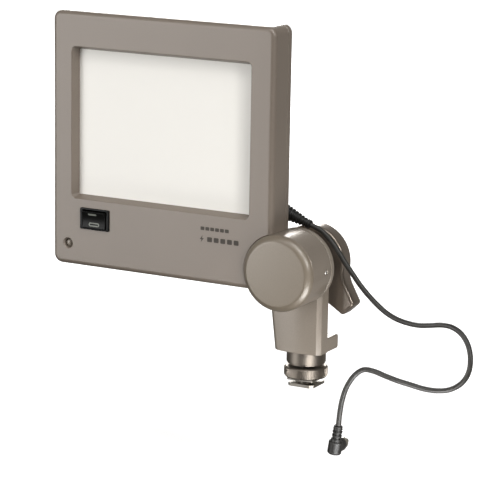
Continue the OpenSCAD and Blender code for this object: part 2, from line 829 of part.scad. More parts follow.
// Upright with a round head and a full flange, on a base block with a bore for the stud
module riser_bracket() {
    color("#a1978a") difference() {
        union() {
            post_y(0, axis_z, y_riser, y_flange, barrel_r);
            post_y(0, axis_z, y_riser, y_riser_back, riser_head_r);
            across_y(y_riser, y_riser_back) polygon([[-riser_hw, z_block], [riser_hw, z_block],
                [riser_hw, axis_z], [-riser_hw, axis_z],
                [-riser_hw - riser_flare, axis_z - barrel_r + 3]]);
            block([-riser_hw, y_riser, z_block], [riser_hw, block_back, z_block_top]);
        }
        post_y(0, axis_z, y_riser - 1, y_riser_back + 1, bolt_r + run_fit);
        translate([0, 0, z_block - 1]) cylinder(h = stud_in_block + 1, r = stud_d / 2 + seat_fit);
        translate([0, 0, z_block + block_h / 2]) rotate([-90, 0, 0])
            cylinder(h = block_back + 1, r = foot_pin_d / 2 + run_fit);
        for (side = [-1, 1]) translate([side * riser_hw, y_riser, z_block - 1]) rotate([0, 0, 45])
            translate([-riser_chamfer * 0.7071, -riser_chamfer * 0.7071, 0])
                cube([riser_chamfer * 1.4142, riser_chamfer * 1.4142, axis_z - barrel_r - z_block]);
    }
}

module lever_spacer() {
    color("#4a463f") washer(y_riser_back, y_lever, 11);
}

// Outline of the arm, drawn along +X and turned down
module arm_outline() {
    rotate(-lever_droop) polygon([[0, lever_root_w / 2], [lever_reach, lever_tip_w / 2],
        [lever_reach, -lever_tip_w / 2], [0, -lever_root_w / 2]]);
}

nut_r = 8;
nut_t = 7;

module clamp_lever() {
    y0 = y_lever + lever_gap;
    color("#8a8175") difference() {
        union() {
            post_y(0, axis_z, y0, y0 + lever_t, lever_hub_d / 2);
            translate([0, 0, axis_z]) across_y(y0, y0 + lever_t) arm_outline();
        }
        post_y(0, axis_z, y0 - 1, y0 + lever_t + 1, bolt_r + run_fit);
        translate([0, y0 + lever_t - nut_t, axis_z]) rotate([-90, 0, 0]) cylinder(h = nut_t + 1, r = nut_r, $fn = 6);
    }
}

module lever_nut() {
    y0 = y_lever + lever_gap + lever_t - nut_t;
    color("#b0aea8") difference() {
        translate([0, y0, axis_z]) rotate([-90, 0, 0]) cylinder(h = nut_t - 0.4, r = nut_r - seat_fit, $fn = 6);
        post_y(0, axis_z, y0 - 1, y0 + nut_t + 1, bolt_r + run_fit);
    }
}

module lever_cap() {
    y0 = y_lever + lever_gap + lever_t;
    color("#7d7468") post_y(0, axis_z, y0, y0 + 1.5, nut_r + 4);
}

module foot_pin() {
    color("#b8b8b4") translate([0, 0, z_block + block_h / 2]) rotate([-90, 0, 0])
        cylinder(h = block_back - 0.4, r = foot_pin_d / 2);
}

module neck_collar() {
    color("#8a8075") translate([0, 0, z_block - neck_h]) difference() {
        cylinder(h = neck_h, r = neck_d / 2);
        translate([0, 0, -1]) cylinder(h = neck_h + 2, r = stud_d / 2 + seat_fit);
    }
}

// Foot plate with chamfered front corners and the stud that the ring turns on
module shoe_foot() {
    nose = 2;
    hw = foot_w / 2;
    hl = foot_l / 2;
    color("#a9a49b") difference() {
        union() {
            linear_extrude(height = foot_t) polygon([[-hw, hl], [-hw, nose - hl], [nose - hw, -hl],
                [hw - nose, -hl], [hw, nose - hl], [hw, hl]]);
            cylinder(h = z_block + stud_in_block - 0.1, r = stud_d / 2);
        }
        translate([0, 0, z_block + block_h / 2]) rotate([-90, 0, 0]) cylinder(h = stud_d, r = foot_pin_d / 2 + run_fit);
    }
}

module pressure_plate() {
    color("#a9a49b") translate([0, 0, z_plate]) difference() {
        translate([-foot_w / 2, -foot_l / 2, 0]) cube([foot_w, foot_l, plate_t]);
        translate([0, 0, -1]) cylinder(h = plate_t + 2, r = stud_d / 2 + run_fit);
    }
}

module lock_ring() {
    c = 0.8;
    color("#8a8075") translate([0, 0, z_ring]) difference() {
        rotate_extrude() polygon([[0, 0], [ring_d / 2 - c, 0], [ring_d / 2, c], [ring_d / 2, ring_h - c],
            [ring_d / 2 - c, ring_h], [0, ring_h]]);
        translate([0, 0, -1]) cylinder(h = ring_h + 2, r = stud_d / 2 + run_fit);
    }
}

front_housing();
rear_housing();
diffuser_panel();
reflector_pan();
flash_tube();
tube_holders();
main_board();
main_capacitors();
transformer();
trigger_coil();
sensor_board();
tact_switch();
sensor_holder();
sensor_lens();
switch_frame();
rocker();
test_button();
ready_lamp();
battery_tray();
battery_cells();
battery_contacts();
battery_door();
door_pin();
housing_screws();
head_knuckle();
knuckle_screws();
set_screw();
hinge_cap();
cord_outlet();
cord_boot();
sync_cord();
plug_body();
plug_sleeve();
plug_pin();
hinge_bolt();
spring_washer();
friction_washer();
riser_bracket();
lever_spacer();
clamp_lever();
lever_nut();
lever_cap();
foot_pin();
neck_collar();
shoe_foot();
pressure_plate();
lock_ring();
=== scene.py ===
"""A flat-panel electronic flash on a swing bracket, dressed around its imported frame.

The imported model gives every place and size. This script adds the shells, edges, ribs, cord and finishes that
the eye sees. Lengths are in metres, +Z is up and the light faces -Y.
"""

import json
import logging
import math
from dataclasses import dataclass
from enum import Enum
from typing import Iterable, Optional, Sequence

import bmesh
import bpy
from mathutils import Matrix, Quaternion, Vector


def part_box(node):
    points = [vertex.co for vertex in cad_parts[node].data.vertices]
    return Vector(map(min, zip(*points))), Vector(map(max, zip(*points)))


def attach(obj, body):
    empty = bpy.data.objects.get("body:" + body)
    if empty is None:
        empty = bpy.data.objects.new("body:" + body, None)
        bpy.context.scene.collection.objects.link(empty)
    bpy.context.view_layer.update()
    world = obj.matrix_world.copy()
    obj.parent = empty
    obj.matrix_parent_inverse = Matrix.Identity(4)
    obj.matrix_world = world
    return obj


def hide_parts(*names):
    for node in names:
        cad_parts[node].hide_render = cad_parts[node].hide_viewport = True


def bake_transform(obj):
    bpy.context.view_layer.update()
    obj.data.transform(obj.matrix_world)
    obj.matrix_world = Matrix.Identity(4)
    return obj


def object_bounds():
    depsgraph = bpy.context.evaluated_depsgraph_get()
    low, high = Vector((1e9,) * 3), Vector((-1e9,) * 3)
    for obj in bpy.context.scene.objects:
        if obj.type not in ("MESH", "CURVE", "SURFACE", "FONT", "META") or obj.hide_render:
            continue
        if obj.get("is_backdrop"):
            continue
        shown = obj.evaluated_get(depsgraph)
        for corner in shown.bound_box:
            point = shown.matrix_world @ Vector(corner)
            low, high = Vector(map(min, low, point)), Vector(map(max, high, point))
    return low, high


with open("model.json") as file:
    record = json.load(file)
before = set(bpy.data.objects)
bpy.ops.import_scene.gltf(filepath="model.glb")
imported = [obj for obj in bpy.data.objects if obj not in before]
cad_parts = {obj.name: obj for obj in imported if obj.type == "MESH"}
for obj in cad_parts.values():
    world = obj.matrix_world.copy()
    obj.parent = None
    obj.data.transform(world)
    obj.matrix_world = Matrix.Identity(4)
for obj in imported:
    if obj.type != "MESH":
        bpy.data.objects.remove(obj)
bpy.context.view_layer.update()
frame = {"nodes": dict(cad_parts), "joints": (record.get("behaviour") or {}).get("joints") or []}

MM = 0.001
log = logging.getLogger("flash")

Outline = list[tuple[float, float]]
Place = tuple[float, float, float]
Object = bpy.types.Object
Tree = bpy.types.NodeTree
Node = bpy.types.Node
Socket = bpy.types.NodeSocket

# Points of a built mesh closer than WELD are one point, and so are a CAD node's closer than CAD_WELD.
WELD = MM / 1000
CAD_WELD = MM / 200
# Segments round a turned piece: fair-sized, small, and the smallest.
FAIR_ROUND = 64
SMALL_ROUND = 48
TINY_ROUND = 32
# An end ring narrower than this has closed to a point and needs no cap.
POINT = MM / 100
# The part of a noise pattern's range that is stretched over a change of colour, and over one of gloss.
COLOUR_SPAN = (0.25, 0.75)
GLOSS_SPAN = (0.3, 0.7)
# The Mix node's colour sockets by number, as its kinds of data share their names.
MIX_A, MIX_B, MIX_RESULT = 6, 7, 2
# The wave texture turns through this many radians in each unit.
WAVE_RADIANS = 20


class Body(Enum):
    """The moving bodies of the frame."""

    BASE = "base"
    HEAD = "head"
    ROCKER = "rocker"
    BUTTON = "test_button"
    DOOR = "battery_door"
    LEVER = "clamp_lever"
    PLATE = "pressure_plate"
    RING = "lock_ring"


class Axis(Enum):
    """The direction that a turned piece's own axis points in."""

    X = "x"
    Y = "y"
    Z = "z"


@dataclass(frozen=True)
class Box:
    """The space of one CAD node at rest."""

    low: Vector
    high: Vector

    @classmethod
    def of(cls, node: str) -> "Box":
        """Reads the box of a CAD node from the frame."""
        return cls(*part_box(node))

    @property
    def mid(self) -> Vector:
        """The box's centre."""
        return (self.low + self.high) / 2

    @property
    def size(self) -> Vector:
        """The box's three sides."""
        return self.high - self.low


# --- Nodes ---


def add_node(
    tree: Tree,
    kind: str,
    settings: Optional[dict] = None,
    feeds: Optional[dict] = None,
) -> Node:
    """Adds one node to a tree.

    Args:
        tree: The material, world or geometry tree.
        kind: The node's type name.
        settings: Values by socket name or number, or by the node's own property name.
        feeds: Output sockets by the name or number of the input that each one feeds.

    Returns:
        The new node.
    """
    node = tree.nodes.new(kind)
    for key, value in (settings or {}).items():
        if isinstance(key, int) or key in node.inputs:
            node.inputs[key].default_value = value
        else:
            setattr(node, key, value)
    for key, source in (feeds or {}).items():
        tree.links.new(source, node.inputs[key])
    return node


def linear(colour: str) -> tuple[float, float, float, float]:
    """Turns an sRGB colour into a linear one.

    Args:
        colour: The colour in hex, such as "#9c9286".

    Returns:
        Its red, green and blue, and an alpha of 1.
    """
    parts = [int(colour[i : i + 2], 16) / 255 for i in (1, 3, 5)]
    red, green, blue = (p / 12.92 if p <= 0.04045 else ((p + 0.055) / 1.055) ** 2.4 for p in parts)
    return red, green, blue, 1.0


def per_metre(size: float) -> float:
    """The texture scale at which one feature of a pattern is as long as size, in metres."""
    return 1 / size


# --- Finishes ---


@dataclass(frozen=True)
class Finish:
    """A material's name and starting colour, and the parts that all finishes share."""

    name: str
    colour: str

    def material(self) -> bpy.types.Material:
        """Makes the material the first time it is asked for.

        Returns:
            The material.
        """
        made = bpy.data.materials.get(self.name)
        if made is None:
            made = bpy.data.materials.new(self.name)
            made.use_nodes = True
            tree = made.node_tree
            tree.nodes.clear()
            shader = add_node(tree, "ShaderNodeBsdfPrincipled", {"Base Color": linear(self.colour)})
            add_node(tree, "ShaderNodeOutputMaterial", feeds={"Surface": shader.outputs["BSDF"]})
            place = add_node(tree, "ShaderNodeTexCoord").outputs["Object"]
            self.build(tree, shader, place)
        return made

    def build(self, tree: Tree, shader: Node, place: Socket) -> None:
        """Adds the finish's own nodes.

        Args:
            tree: The material's tree.
            shader: Its Principled shader.
            place: Object coordinates, in metres.
        """
        raise NotImplementedError

    def noise(self, tree: Tree, place: Socket, size: float, detail: float = 2.0) -> Socket:
        """A cloudy pattern from 0 to 1.

        Args:
            tree: The material's tree.
            place: The coordinates it reads.
            size: The length of one cloud.
            detail: How many finer layers it holds.

        Returns:
            The pattern's socket.
        """
        settings = {"Scale": per_metre(size), "Detail": detail}
        return add_node(tree, "ShaderNodeTexNoise", settings, {"Vector": place}).outputs["Fac"]

    def vary(self, tree: Tree, shader: Node, pattern: Socket, dark: float, light: float) -> None:
        """Multiplies what the shader's colour is by a brightness that follows a pattern.

        Args:
            tree: The material's tree.
            shader: The shader whose colour varies.
            pattern: A pattern from 0 to 1.
            dark: The brightness where the pattern is 0.
            light: The brightness where it is 1.
        """
        scale = add_node(
            tree,
            "ShaderNodeMapRange",
            {"From Min": COLOUR_SPAN[0], "From Max": COLOUR_SPAN[1], "To Min": dark, "To Max": light},
            {"Value": pattern},
        )
        mix = add_node(
            tree,
            "ShaderNodeVectorMath",
            {"operation": "SCALE", 0: linear(self.colour)[:3]},
            {"Scale": scale.outputs["Result"]},
        )
        socket = shader.inputs["Base Color"]
        if socket.is_linked:
            tree.links.new(socket.links[0].from_socket, mix.inputs[0])
        tree.links.new(mix.outputs["Vector"], socket)

    def spread(self, tree: Tree, shader: Node, pattern: Socket, low: float, high: float) -> None:
        """Makes the roughness follow a pattern.

        Args:
            tree: The material's tree.
            shader: The shader whose roughness varies.
            pattern: A pattern from 0 to 1.
            low: The roughness where the pattern is 0.
            high: The roughness where it is 1.
        """
        scale = add_node(
            tree,
            "ShaderNodeMapRange",
            {"From Min": GLOSS_SPAN[0], "From Max": GLOSS_SPAN[1], "To Min": low, "To Max": high},
            {"Value": pattern},
        )
        tree.links.new(scale.outputs["Result"], shader.inputs["Roughness"])

    def raise_by(self, tree: Tree, shader: Node, *layers: tuple[Socket, float]) -> None:
        """Bumps the surface with one or more patterns.

        Args:
            tree: The material's tree.
            shader: The shader whose surface is bumped.
            layers: Each pattern with its real height, the coarsest first.
        """
        below = None
        for pattern, height in layers:
            feeds = {"Height": pattern}
            if below is not None:
                feeds["Normal"] = below
            bump = add_node(tree, "ShaderNodeBump", {"Strength": 1.0, "Distance": height}, feeds)
            below = bump.outputs["Normal"]
        tree.links.new(below, shader.inputs["Normal"])


@dataclass(frozen=True)
class MetallicPaint(Finish):
    """Champagne metallic lacquer, sprayed on moulded ABS or on a casting.

    The eye sees a satin, slightly grainy grey-beige whose fine flakes glint, and which is a little uneven.
    """

    roughness: float = 0.42
    metallic: float = 0.35
    flake: float = 0.45 * MM
    flake_contrast: float = 0.07
    flake_gloss: float = 0.05
    grain: float = 0.9 * MM
    grain_height: float = 0.012 * MM
    peel: float = 6 * MM
    peel_height: float = 0.024 * MM
    cloud: float = 45 * MM
    cloud_contrast: float = 0.025
    coat: float = 0.5
    coat_roughness: float = 0.22

    def build(self, tree: Tree, shader: Node, place: Socket) -> None:
        """Flakes and clouds in the colour, flakes in the gloss, and orange peel and grain in the surface.

        Args:
            tree: The material's tree.
            shader: Its Principled shader.
            place: Object coordinates, in metres.
        """
        shader.inputs["Metallic"].default_value = self.metallic
        shader.inputs["Coat Weight"].default_value = self.coat
        shader.inputs["Coat Roughness"].default_value = self.coat_roughness
        flakes = self.noise(tree, place, self.flake)
        clouds = self.noise(tree, place, self.cloud)
        self.vary(tree, shader, clouds, 1 - self.cloud_contrast, 1 + self.cloud_contrast)
        self.vary(tree, shader, flakes, 1 - self.flake_contrast, 1 + self.flake_contrast)
        dull, glossy = self.roughness + self.flake_gloss, self.roughness - self.flake_gloss
        self.spread(tree, shader, flakes, dull, glossy)
        grain = self.noise(tree, place, self.grain, 3.0)
        peel = self.noise(tree, place, self.peel)
        self.raise_by(tree, shader, (peel, self.peel_height), (grain, self.grain_height))


@dataclass(frozen=True)
class OpalAcrylic(Finish):
    """Opal PMMA sheet, cast and etched matt on its face: a soft milky white that lets a little light in."""

    roughness: float = 0.38
    ior: float = 1.49
    milkiness: float = 0.35
    depth: float = 1.5 * MM
    depth_tint: Place = (1.0, 0.95, 0.85)
    milk: float = 30 * MM
    milk_contrast: float = 0.015
    etch: float = 0.6 * MM
    etch_height: float = 0.006 * MM
    etch_gloss: float = 0.04

    def build(self, tree: Tree, shader: Node, place: Socket) -> None:
        """Faint clouds in the milk, and the etched face's fine grain.

        Args:
            tree: The material's tree.
            shader: Its Principled shader.
            place: Object coordinates, in metres.
        """
        shader.inputs["IOR"].default_value = self.ior
        shader.inputs["Subsurface Weight"].default_value = self.milkiness
        shader.inputs["Subsurface Radius"].default_value = self.depth_tint
        shader.inputs["Subsurface Scale"].default_value = self.depth
        milk = self.noise(tree, place, self.milk)
        self.vary(tree, shader, milk, 1 - self.milk_contrast, 1 + self.milk_contrast)
        etch = self.noise(tree, place, self.etch, 3.0)
        self.spread(tree, shader, etch, self.roughness - self.etch_gloss, self.roughness + self.etch_gloss)
        self.raise_by(tree, shader, (etch, self.etch_height))


@dataclass(frozen=True)
class MouldedPlastic(Finish):
    """Moulded ABS or polycarbonate with a spark-eroded texture: matt, evenly pebbled, with a soft shine."""

    roughness: float = 0.5
    pebble: float = 0.5 * MM
    pebble_height: float = 0.02 * MM
    pebble_hollow_shade: float = 0.05
    pebble_gloss: float = 0.06
    cloud: float = 12 * MM
    cloud_contrast: float = 0.04
    ior: float = 1.54
    shine: float = 0.5

    def build(self, tree: Tree, shader: Node, place: Socket) -> None:
        """Pebbles in the surface, with hollows a little duller and painted a little darker as shade.

        Args:
            tree: The material's tree.
            shader: Its Principled shader.
            place: Object coordinates, in metres.
        """
        shader.inputs["IOR"].default_value = self.ior
        shader.inputs["Specular IOR Level"].default_value = self.shine
        cells = add_node(tree, "ShaderNodeTexVoronoi", {"Scale": per_metre(self.pebble)}, {"Vector": place})
        pebbles = cells.outputs["Distance"]
        clouds = self.noise(tree, place, self.cloud)
        self.vary(tree, shader, clouds, 1 - self.cloud_contrast, 1 + self.cloud_contrast)
        # Painted shade: the pebbles' hollows are darker in the colour.
        self.vary(tree, shader, pebbles, 1 - self.pebble_hollow_shade, 1 + self.pebble_hollow_shade)
        dull, glossy = self.roughness + self.pebble_gloss, self.roughness - self.pebble_gloss
        self.spread(tree, shader, pebbles, glossy, dull)
        self.raise_by(tree, shader, (pebbles, self.pebble_height))


@dataclass(frozen=True)
class GlossyPlastic(Finish):
    """Polished polycarbonate or shrunk PVC film: smooth and shiny, with a faint waviness."""

    roughness: float = 0.14
    clear: float = 0.0
    ior: float = 1.58
    wave: float = 4 * MM
    wave_height: float = 0.02 * MM
    wave_contrast: float = 0.06
    dust: float = 1 * MM
    dust_gloss: float = 0.1

    def build(self, tree: Tree, shader: Node, place: Socket) -> None:
        """Waviness in the surface and fine dust in the gloss.

        Args:
            tree: The material's tree.
            shader: Its Principled shader.
            place: Object coordinates, in metres.
        """
        shader.inputs["IOR"].default_value = self.ior
        shader.inputs["Transmission Weight"].default_value = self.clear
        wave = self.noise(tree, place, self.wave)
        self.vary(tree, shader, wave, 1 - self.wave_contrast, 1 + self.wave_contrast)
        dust = self.noise(tree, place, self.dust, 4.0)
        self.spread(tree, shader, dust, self.roughness, self.roughness + self.dust_gloss)
        self.raise_by(tree, shader, (wave, self.wave_height))


@dataclass(frozen=True)
class Rubber(Finish):
    """Soft PVC or rubber: near black and dull, with a dusty bloom and the extruder's fine streaks."""

    roughness: float = 0.55
    ior: float = 1.52
    streak: float = 0.7 * MM
    streak_height: float = 0.015 * MM
    bloom: float = 7 * MM
    bloom_tones: tuple[float, float] = (0.88, 1.14)
    bloom_gloss: float = 0.08

    def build(self, tree: Tree, shader: Node, place: Socket) -> None:
        """Bloom in the colour and gloss, streaks in the surface.

        Args:
            tree: The material's tree.
            shader: Its Principled shader.
            place: Object coordinates, in metres.
        """
        shader.inputs["IOR"].default_value = self.ior
        bloom = self.noise(tree, place, self.bloom, 4.0)
        self.vary(tree, shader, bloom, *self.bloom_tones)
        self.spread(tree, shader, bloom, self.roughness - self.bloom_gloss, self.roughness + self.bloom_gloss)
        self.raise_by(tree, shader, (self.noise(tree, place, self.streak, 3.0), self.streak_height))


@dataclass(frozen=True)
class BareMetal(Finish):
    """Machined, plated or stamped metal: bright, with the tool's fine lines across it and a worn gloss."""

    roughness: float = 0.3
    line: float = 0.25 * MM
    line_stretch: Place = (1.0, 1.0, 14.0)
    line_height: float = 0.006 * MM
    line_gloss: float = 0.07
    tone: float = 9 * MM
    tone_contrast: float = 0.06

    def build(self, tree: Tree, shader: Node, place: Socket) -> None:
        """Tool lines in the surface and the gloss, and a slow change of tone.

        Args:
            tree: The material's tree.
            shader: Its Principled shader.
            place: Object coordinates, in metres.
        """
        shader.inputs["Metallic"].default_value = 1.0
        stretched = add_node(
            tree, "ShaderNodeMapping", {"Scale": self.line_stretch, "vector_type": "POINT"}, {"Vector": place}
        )
        lines = self.noise(tree, stretched.outputs["Vector"], self.line * max(self.line_stretch), 3.0)
        tone = self.noise(tree, place, self.tone)
        self.vary(tree, shader, tone, 1 - self.tone_contrast, 1 + self.tone_contrast)
        self.spread(tree, shader, lines, self.roughness - self.line_gloss, self.roughness + self.line_gloss)
        self.raise_by(tree, shader, (lines, self.line_height))


@dataclass(frozen=True)
class ClearGlass(Finish):
    """Borosilicate tube, drawn and fire-polished: clear, with a faint green edge and fine draw lines."""

    ior: float = 1.47
    draw: float = 1.2 * MM
    draw_stretch: Place = (0.05, 1.0, 1.0)
    draw_height: float = 0.01 * MM
    draw_gloss: tuple[float, float] = (0.02, 0.06)

    def build(self, tree: Tree, shader: Node, place: Socket) -> None:
        """Clear glass with draw lines along the tube.

        Args:
            tree: The material's tree.
            shader: Its Principled shader.
            place: Object coordinates, in metres.
        """
        shader.inputs["IOR"].default_value = self.ior
        shader.inputs["Transmission Weight"].default_value = 1.0
        lines = add_node(tree, "ShaderNodeMapping", {"Scale": self.draw_stretch}, {"Vector": place})
        drawn = self.noise(tree, lines.outputs["Vector"], self.draw)
        self.spread(tree, shader, drawn, *self.draw_gloss)
        self.raise_by(tree, shader, (drawn, self.draw_height))


@dataclass(frozen=True)
class CircuitBoard(Finish):
    """Glass-epoxy board under green solder mask: glossy, with paler tracks and the weave just showing."""

    roughness: float = 0.28
    track: float = 2.2 * MM
    track_height: float = 0.035 * MM
    track_tones: tuple[float, float] = (0.75, 1.3)
    weave: float = 0.5 * MM
    weave_height: float = 0.01 * MM

    def build(self, tree: Tree, shader: Node, place: Socket) -> None:
        """Tracks as raised bands, and a fine weave.

        Args:
            tree: The material's tree.
            shader: Its Principled shader.
            place: Object coordinates, in metres.
        """
        shader.inputs["Roughness"].default_value = self.roughness
        cells = add_node(
            tree,
            "ShaderNodeTexVoronoi",
            {"Scale": per_metre(self.track), "distance": "CHEBYCHEV"},
            {"Vector": place},
        )
        tracks = cells.outputs["Distance"]
        self.vary(tree, shader, tracks, *self.track_tones)
        weave = self.noise(tree, place, self.weave)
        self.raise_by(tree, shader, (tracks, self.track_height), (weave, self.weave_height))


@dataclass(frozen=True)
class BandedJacket(Finish):
    """Shrunk PVC jacket of a dry cell: glossy, in one colour with a paler band round one end."""

    roughness: float = 0.25
    band_colour: str = "#c9a23a"
    pitch: float = 50.4 * MM
    start: float = -128.2 * MM
    share: float = 0.26
    wrinkle: float = 3 * MM
    wrinkle_height: float = 0.03 * MM

    def build(self, tree: Tree, shader: Node, place: Socket) -> None:
        """A band that repeats with each cell along X, and the film's wrinkles.

        Args:
            tree: The material's tree.
            shader: Its Principled shader.
            place: Object coordinates, in metres.
        """
        shader.inputs["Roughness"].default_value = self.roughness
        along_cells = add_node(tree, "ShaderNodeSeparateXYZ", feeds={"Vector": place}).outputs["X"]
        for operation, number in (
            ("SUBTRACT", self.start),
            ("DIVIDE", self.pitch),
            ("FRACT", 0.0),
            ("LESS_THAN", self.share),
        ):
            step = add_node(tree, "ShaderNodeMath", {"operation": operation, 1: number}, {0: along_cells})
            along_cells = step.outputs[0]
        mix = add_node(
            tree,
            "ShaderNodeMix",
            {"data_type": "RGBA", MIX_A: linear(self.colour), MIX_B: linear(self.band_colour)},
            {0: along_cells},
        )
        tree.links.new(mix.outputs[MIX_RESULT], shader.inputs["Base Color"])
        self.raise_by(tree, shader, (self.noise(tree, place, self.wrinkle, 3.0), self.wrinkle_height))


@dataclass(frozen=True)
class WoundWire(Finish):
    """Enamelled copper or taped winding: a warm, lacquered surface ringed by fine turns.

    The rings stand 2 pi times as far apart as real turns would, so that they show.
    """

    roughness: float = 0.3
    turn: float = 0.6 * MM
    turn_height: float = 0.05 * MM
    turn_groove_shade: tuple[float, float] = (0.7, 1.2)
    wander: float = 0.4
    direction: str = "Z"

    def build(self, tree: Tree, shader: Node, place: Socket) -> None:
        """Turns as fine rings, with their grooves darkened by painted shade.

        Args:
            tree: The material's tree.
            shader: Its Principled shader.
            place: Object coordinates, in metres.
        """
        shader.inputs["Roughness"].default_value = self.roughness
        wave = add_node(
            tree,
            "ShaderNodeTexWave",
            {
                "wave_type": "BANDS",
                "bands_direction": self.direction,
                "Scale": per_metre(self.turn) / WAVE_RADIANS,
                "Distortion": self.wander,
            },
            {"Vector": place},
        )
        turns = wave.outputs["Fac"]
        # Painted shade: the grooves between the turns are darker in the colour.
        self.vary(tree, shader, turns, *self.turn_groove_shade)
        self.raise_by(tree, shader, (turns, self.turn_height))


# Satin champagne lacquer: plain on the moulded panel, more metallic on the castings.
PANEL_PAINT = MetallicPaint("champagne_lacquer_on_abs", "#7d7267", roughness=0.5, metallic=0.15)
REAR_PAINT = MetallicPaint("champagne_lacquer_rear", "#7b7065", metallic=0.15)
# The cap's extra clear coat gives its rim a soft highlight.
CAP_PAINT = MetallicPaint(
    "champagne_lacquer_cap", "#7d7263", roughness=0.5, metallic=0.25, coat=1.0, coat_roughness=0.32
)
HINGE_PAINT = MetallicPaint("champagne_lacquer_on_zinc", "#978c80", roughness=0.34, metallic=0.5)
LEVER_PAINT = MetallicPaint("champagne_lacquer_on_lever", "#7f7469", roughness=0.33, metallic=0.75)
# Painted light: the bracket's lacquer is the same champagne, painted lighter than the panel's to make up for
# the shade that the barrel casts on the bracket.
LIGHTENED_BRACKET_PAINT = MetallicPaint("bracket_lacquer_on_zinc", "#8b8175", roughness=0.42, metallic=0.2)
# Dull grey-brown nickel on the neck and ring, brighter chrome on the foot.
RING_METAL = BareMetal("bead_blasted_nickel_ring", "#877f76", roughness=0.44)
FOOT_METAL = BareMetal("satin_chrome_foot", "#8f8a82", roughness=0.34)
# Milky white acrylic in the window.
OPAL = OpalAcrylic("opal_acrylic", "#cbc8bf")
# Inside the panel: a mirror-bright pan, clear tube, white and black mouldings, board and windings.
REFLECTOR = BareMetal("polished_aluminium_pan", "#dcdcda", roughness=0.16, line=0.6 * MM)
TUBE_GLASS = ClearGlass("borosilicate_tube", "#eef4f2")
WHITE_PLASTIC = MouldedPlastic("white_polycarbonate", "#e4e1d8", roughness=0.42)
BOARD = CircuitBoard("green_solder_mask", "#2c5a3c")
CAPACITOR = GlossyPlastic("capacitor_sleeve_pvc", "#20242c", roughness=0.22)
WINDING = WoundWire("winding_tape_polyester", "#c9a94e", direction="X")
COIL = WoundWire("coil_enamel_copper", "#9c4b26")
GREY_PLASTIC = MouldedPlastic("grey_abs_holder", "#857b6f", roughness=0.5)
BLACK_PLASTIC = MouldedPlastic("black_abs_inner", "#2a2927", roughness=0.55)
# The deep black, half-dull nylon of the switch, and the smoky and amber lenses.
SWITCH_PLASTIC = MouldedPlastic("black_nylon_switch", "#0d0d0c", roughness=0.36, pebble=0.35 * MM, shine=0.15)
SENSOR_LENS = GlossyPlastic("smoke_grey_polycarbonate_lens", "#8d8478", roughness=0.2)
LAMP_LENS = GlossyPlastic("amber_polycarbonate_lamp", "#cf5a1c", roughness=0.12, clear=0.25)
CELL_JACKET = BandedJacket("cell_jacket_pvc", "#33475e")
# Plated and blackened small metal parts.
NICKEL = BareMetal("nickel_plated_spring_steel", "#c4c2ba", roughness=0.22)
BRASS = BareMetal("gold_flashed_brass", "#d2b25e", roughness=0.24)
BRIGHT_STEEL = BareMetal("bright_nickel_set_screw", "#f0eee8", roughness=0.3, line_height=0.001 * MM)
STEEL = BareMetal("zinc_plated_steel", "#a9a9a4", roughness=0.3)
DARK_STEEL = BareMetal("black_oxide_steel", "#3c3a37", roughness=0.42)
# Dull black rubber on the boot and plug, and a slightly greyer, smoother cord.
BOOT_RUBBER = Rubber("black_rubber_strain_relief", "#171614", roughness=0.5)
CORD_RUBBER = Rubber("black_pvc_cord", "#2b2926", roughness=0.44)
# Flat printed ink, dark on the lacquer and grey on the switch.
PRINT_INK, MARK_INK = (
    MouldedPlastic(name, colour, roughness=0.6, pebble=0.2 * MM, pebble_height=0.003 * MM)
    for name, colour in (("dark_screen_print_ink", "#3a332c"), ("grey_screen_print_ink", "#7c7f77"))
)


# --- Meshes ---


def rounded_rect(low: Sequence[float], high: Sequence[float], radius: float, steps: int = 8) -> Outline:
    """A rectangle with round corners, walked once round.

    Args:
        low: Its lower left corner.
        high: Its upper right corner.
        radius: The corners' radius.
        steps: Segments in each corner.

    Returns:
        Four times (steps + 1) points, so that outlines of any size match point for point.
    """
    corners = [(high[0], low[1], -90), (high[0], high[1], 0), (low[0], high[1], 90), (low[0], low[1], 180)]
    points = []
    for x, z, start in corners:
        cx = x + (radius if x == low[0] else -radius)
        cz = z + (radius if z == low[1] else -radius)
        for i in range(steps + 1):
            turn = math.radians(start + 90 * i / steps)
            points.append((cx + radius * math.cos(turn), cz + radius * math.sin(turn)))
    return points


def arc(centre: tuple[float, float], radius: float, start: float, end: float, steps: int = 8) -> Outline:
    """Points along an arc.

    Args:
        centre: The arc's centre.
        radius: Its radius.
        start: Its first angle, in degrees.
        end: Its last angle, in degrees.
        steps: Segments along it.

    Returns:
        steps + 1 points.
    """
    turns = [math.radians(start + (end - start) * i / steps) for i in range(steps + 1)]
    return [(centre[0] + radius * math.cos(t), centre[1] + radius * math.sin(t)) for t in turns]


def curve(start: Vector, leave: Vector, arrive: Vector, end: Vector, steps: int = 10) -> Outline:
    """A smooth cubic curve between two points.

    Args:
        start: Its first point.
        leave: The point that it sets off towards.
        arrive: The point that it comes in from.
        end: Its last point.
        steps: Segments along it.

    Returns:
        steps + 1 points.
    """
    points = []
    for i in range(steps + 1):
        t = i / steps
        first = start * (1 - t) ** 3 + leave * 3 * t * (1 - t) ** 2
        second = arrive * 3 * t**2 * (1 - t) + end * t**3
        points.append(((first + second).x, (first + second).y))
    return points


def dome(radius: float, rise: float, base: float, step: int, start: int = 0) -> Outline:
    """A domed end for a turned piece.

    Args:
        radius: The dome's radius at its foot.
        rise: How far it stands up; below 0 it points down.
        base: The height of its foot.
        step: Degrees from one point to the next.
        start: The first point's angle, in degrees.

    Returns:
        The points up to the last one before the axis.
    """
    turns = [math.radians(a) for a in range(start, 90, step)]
    return [(radius * math.cos(t), base + rise * math.sin(t)) for t in turns]


def at_y(outline: Outline, y: float) -> list[Vector]:
    """Stands an (X, Z) outline up at one station along Y."""
    return [Vector((x, y, z)) for x, z in outline]


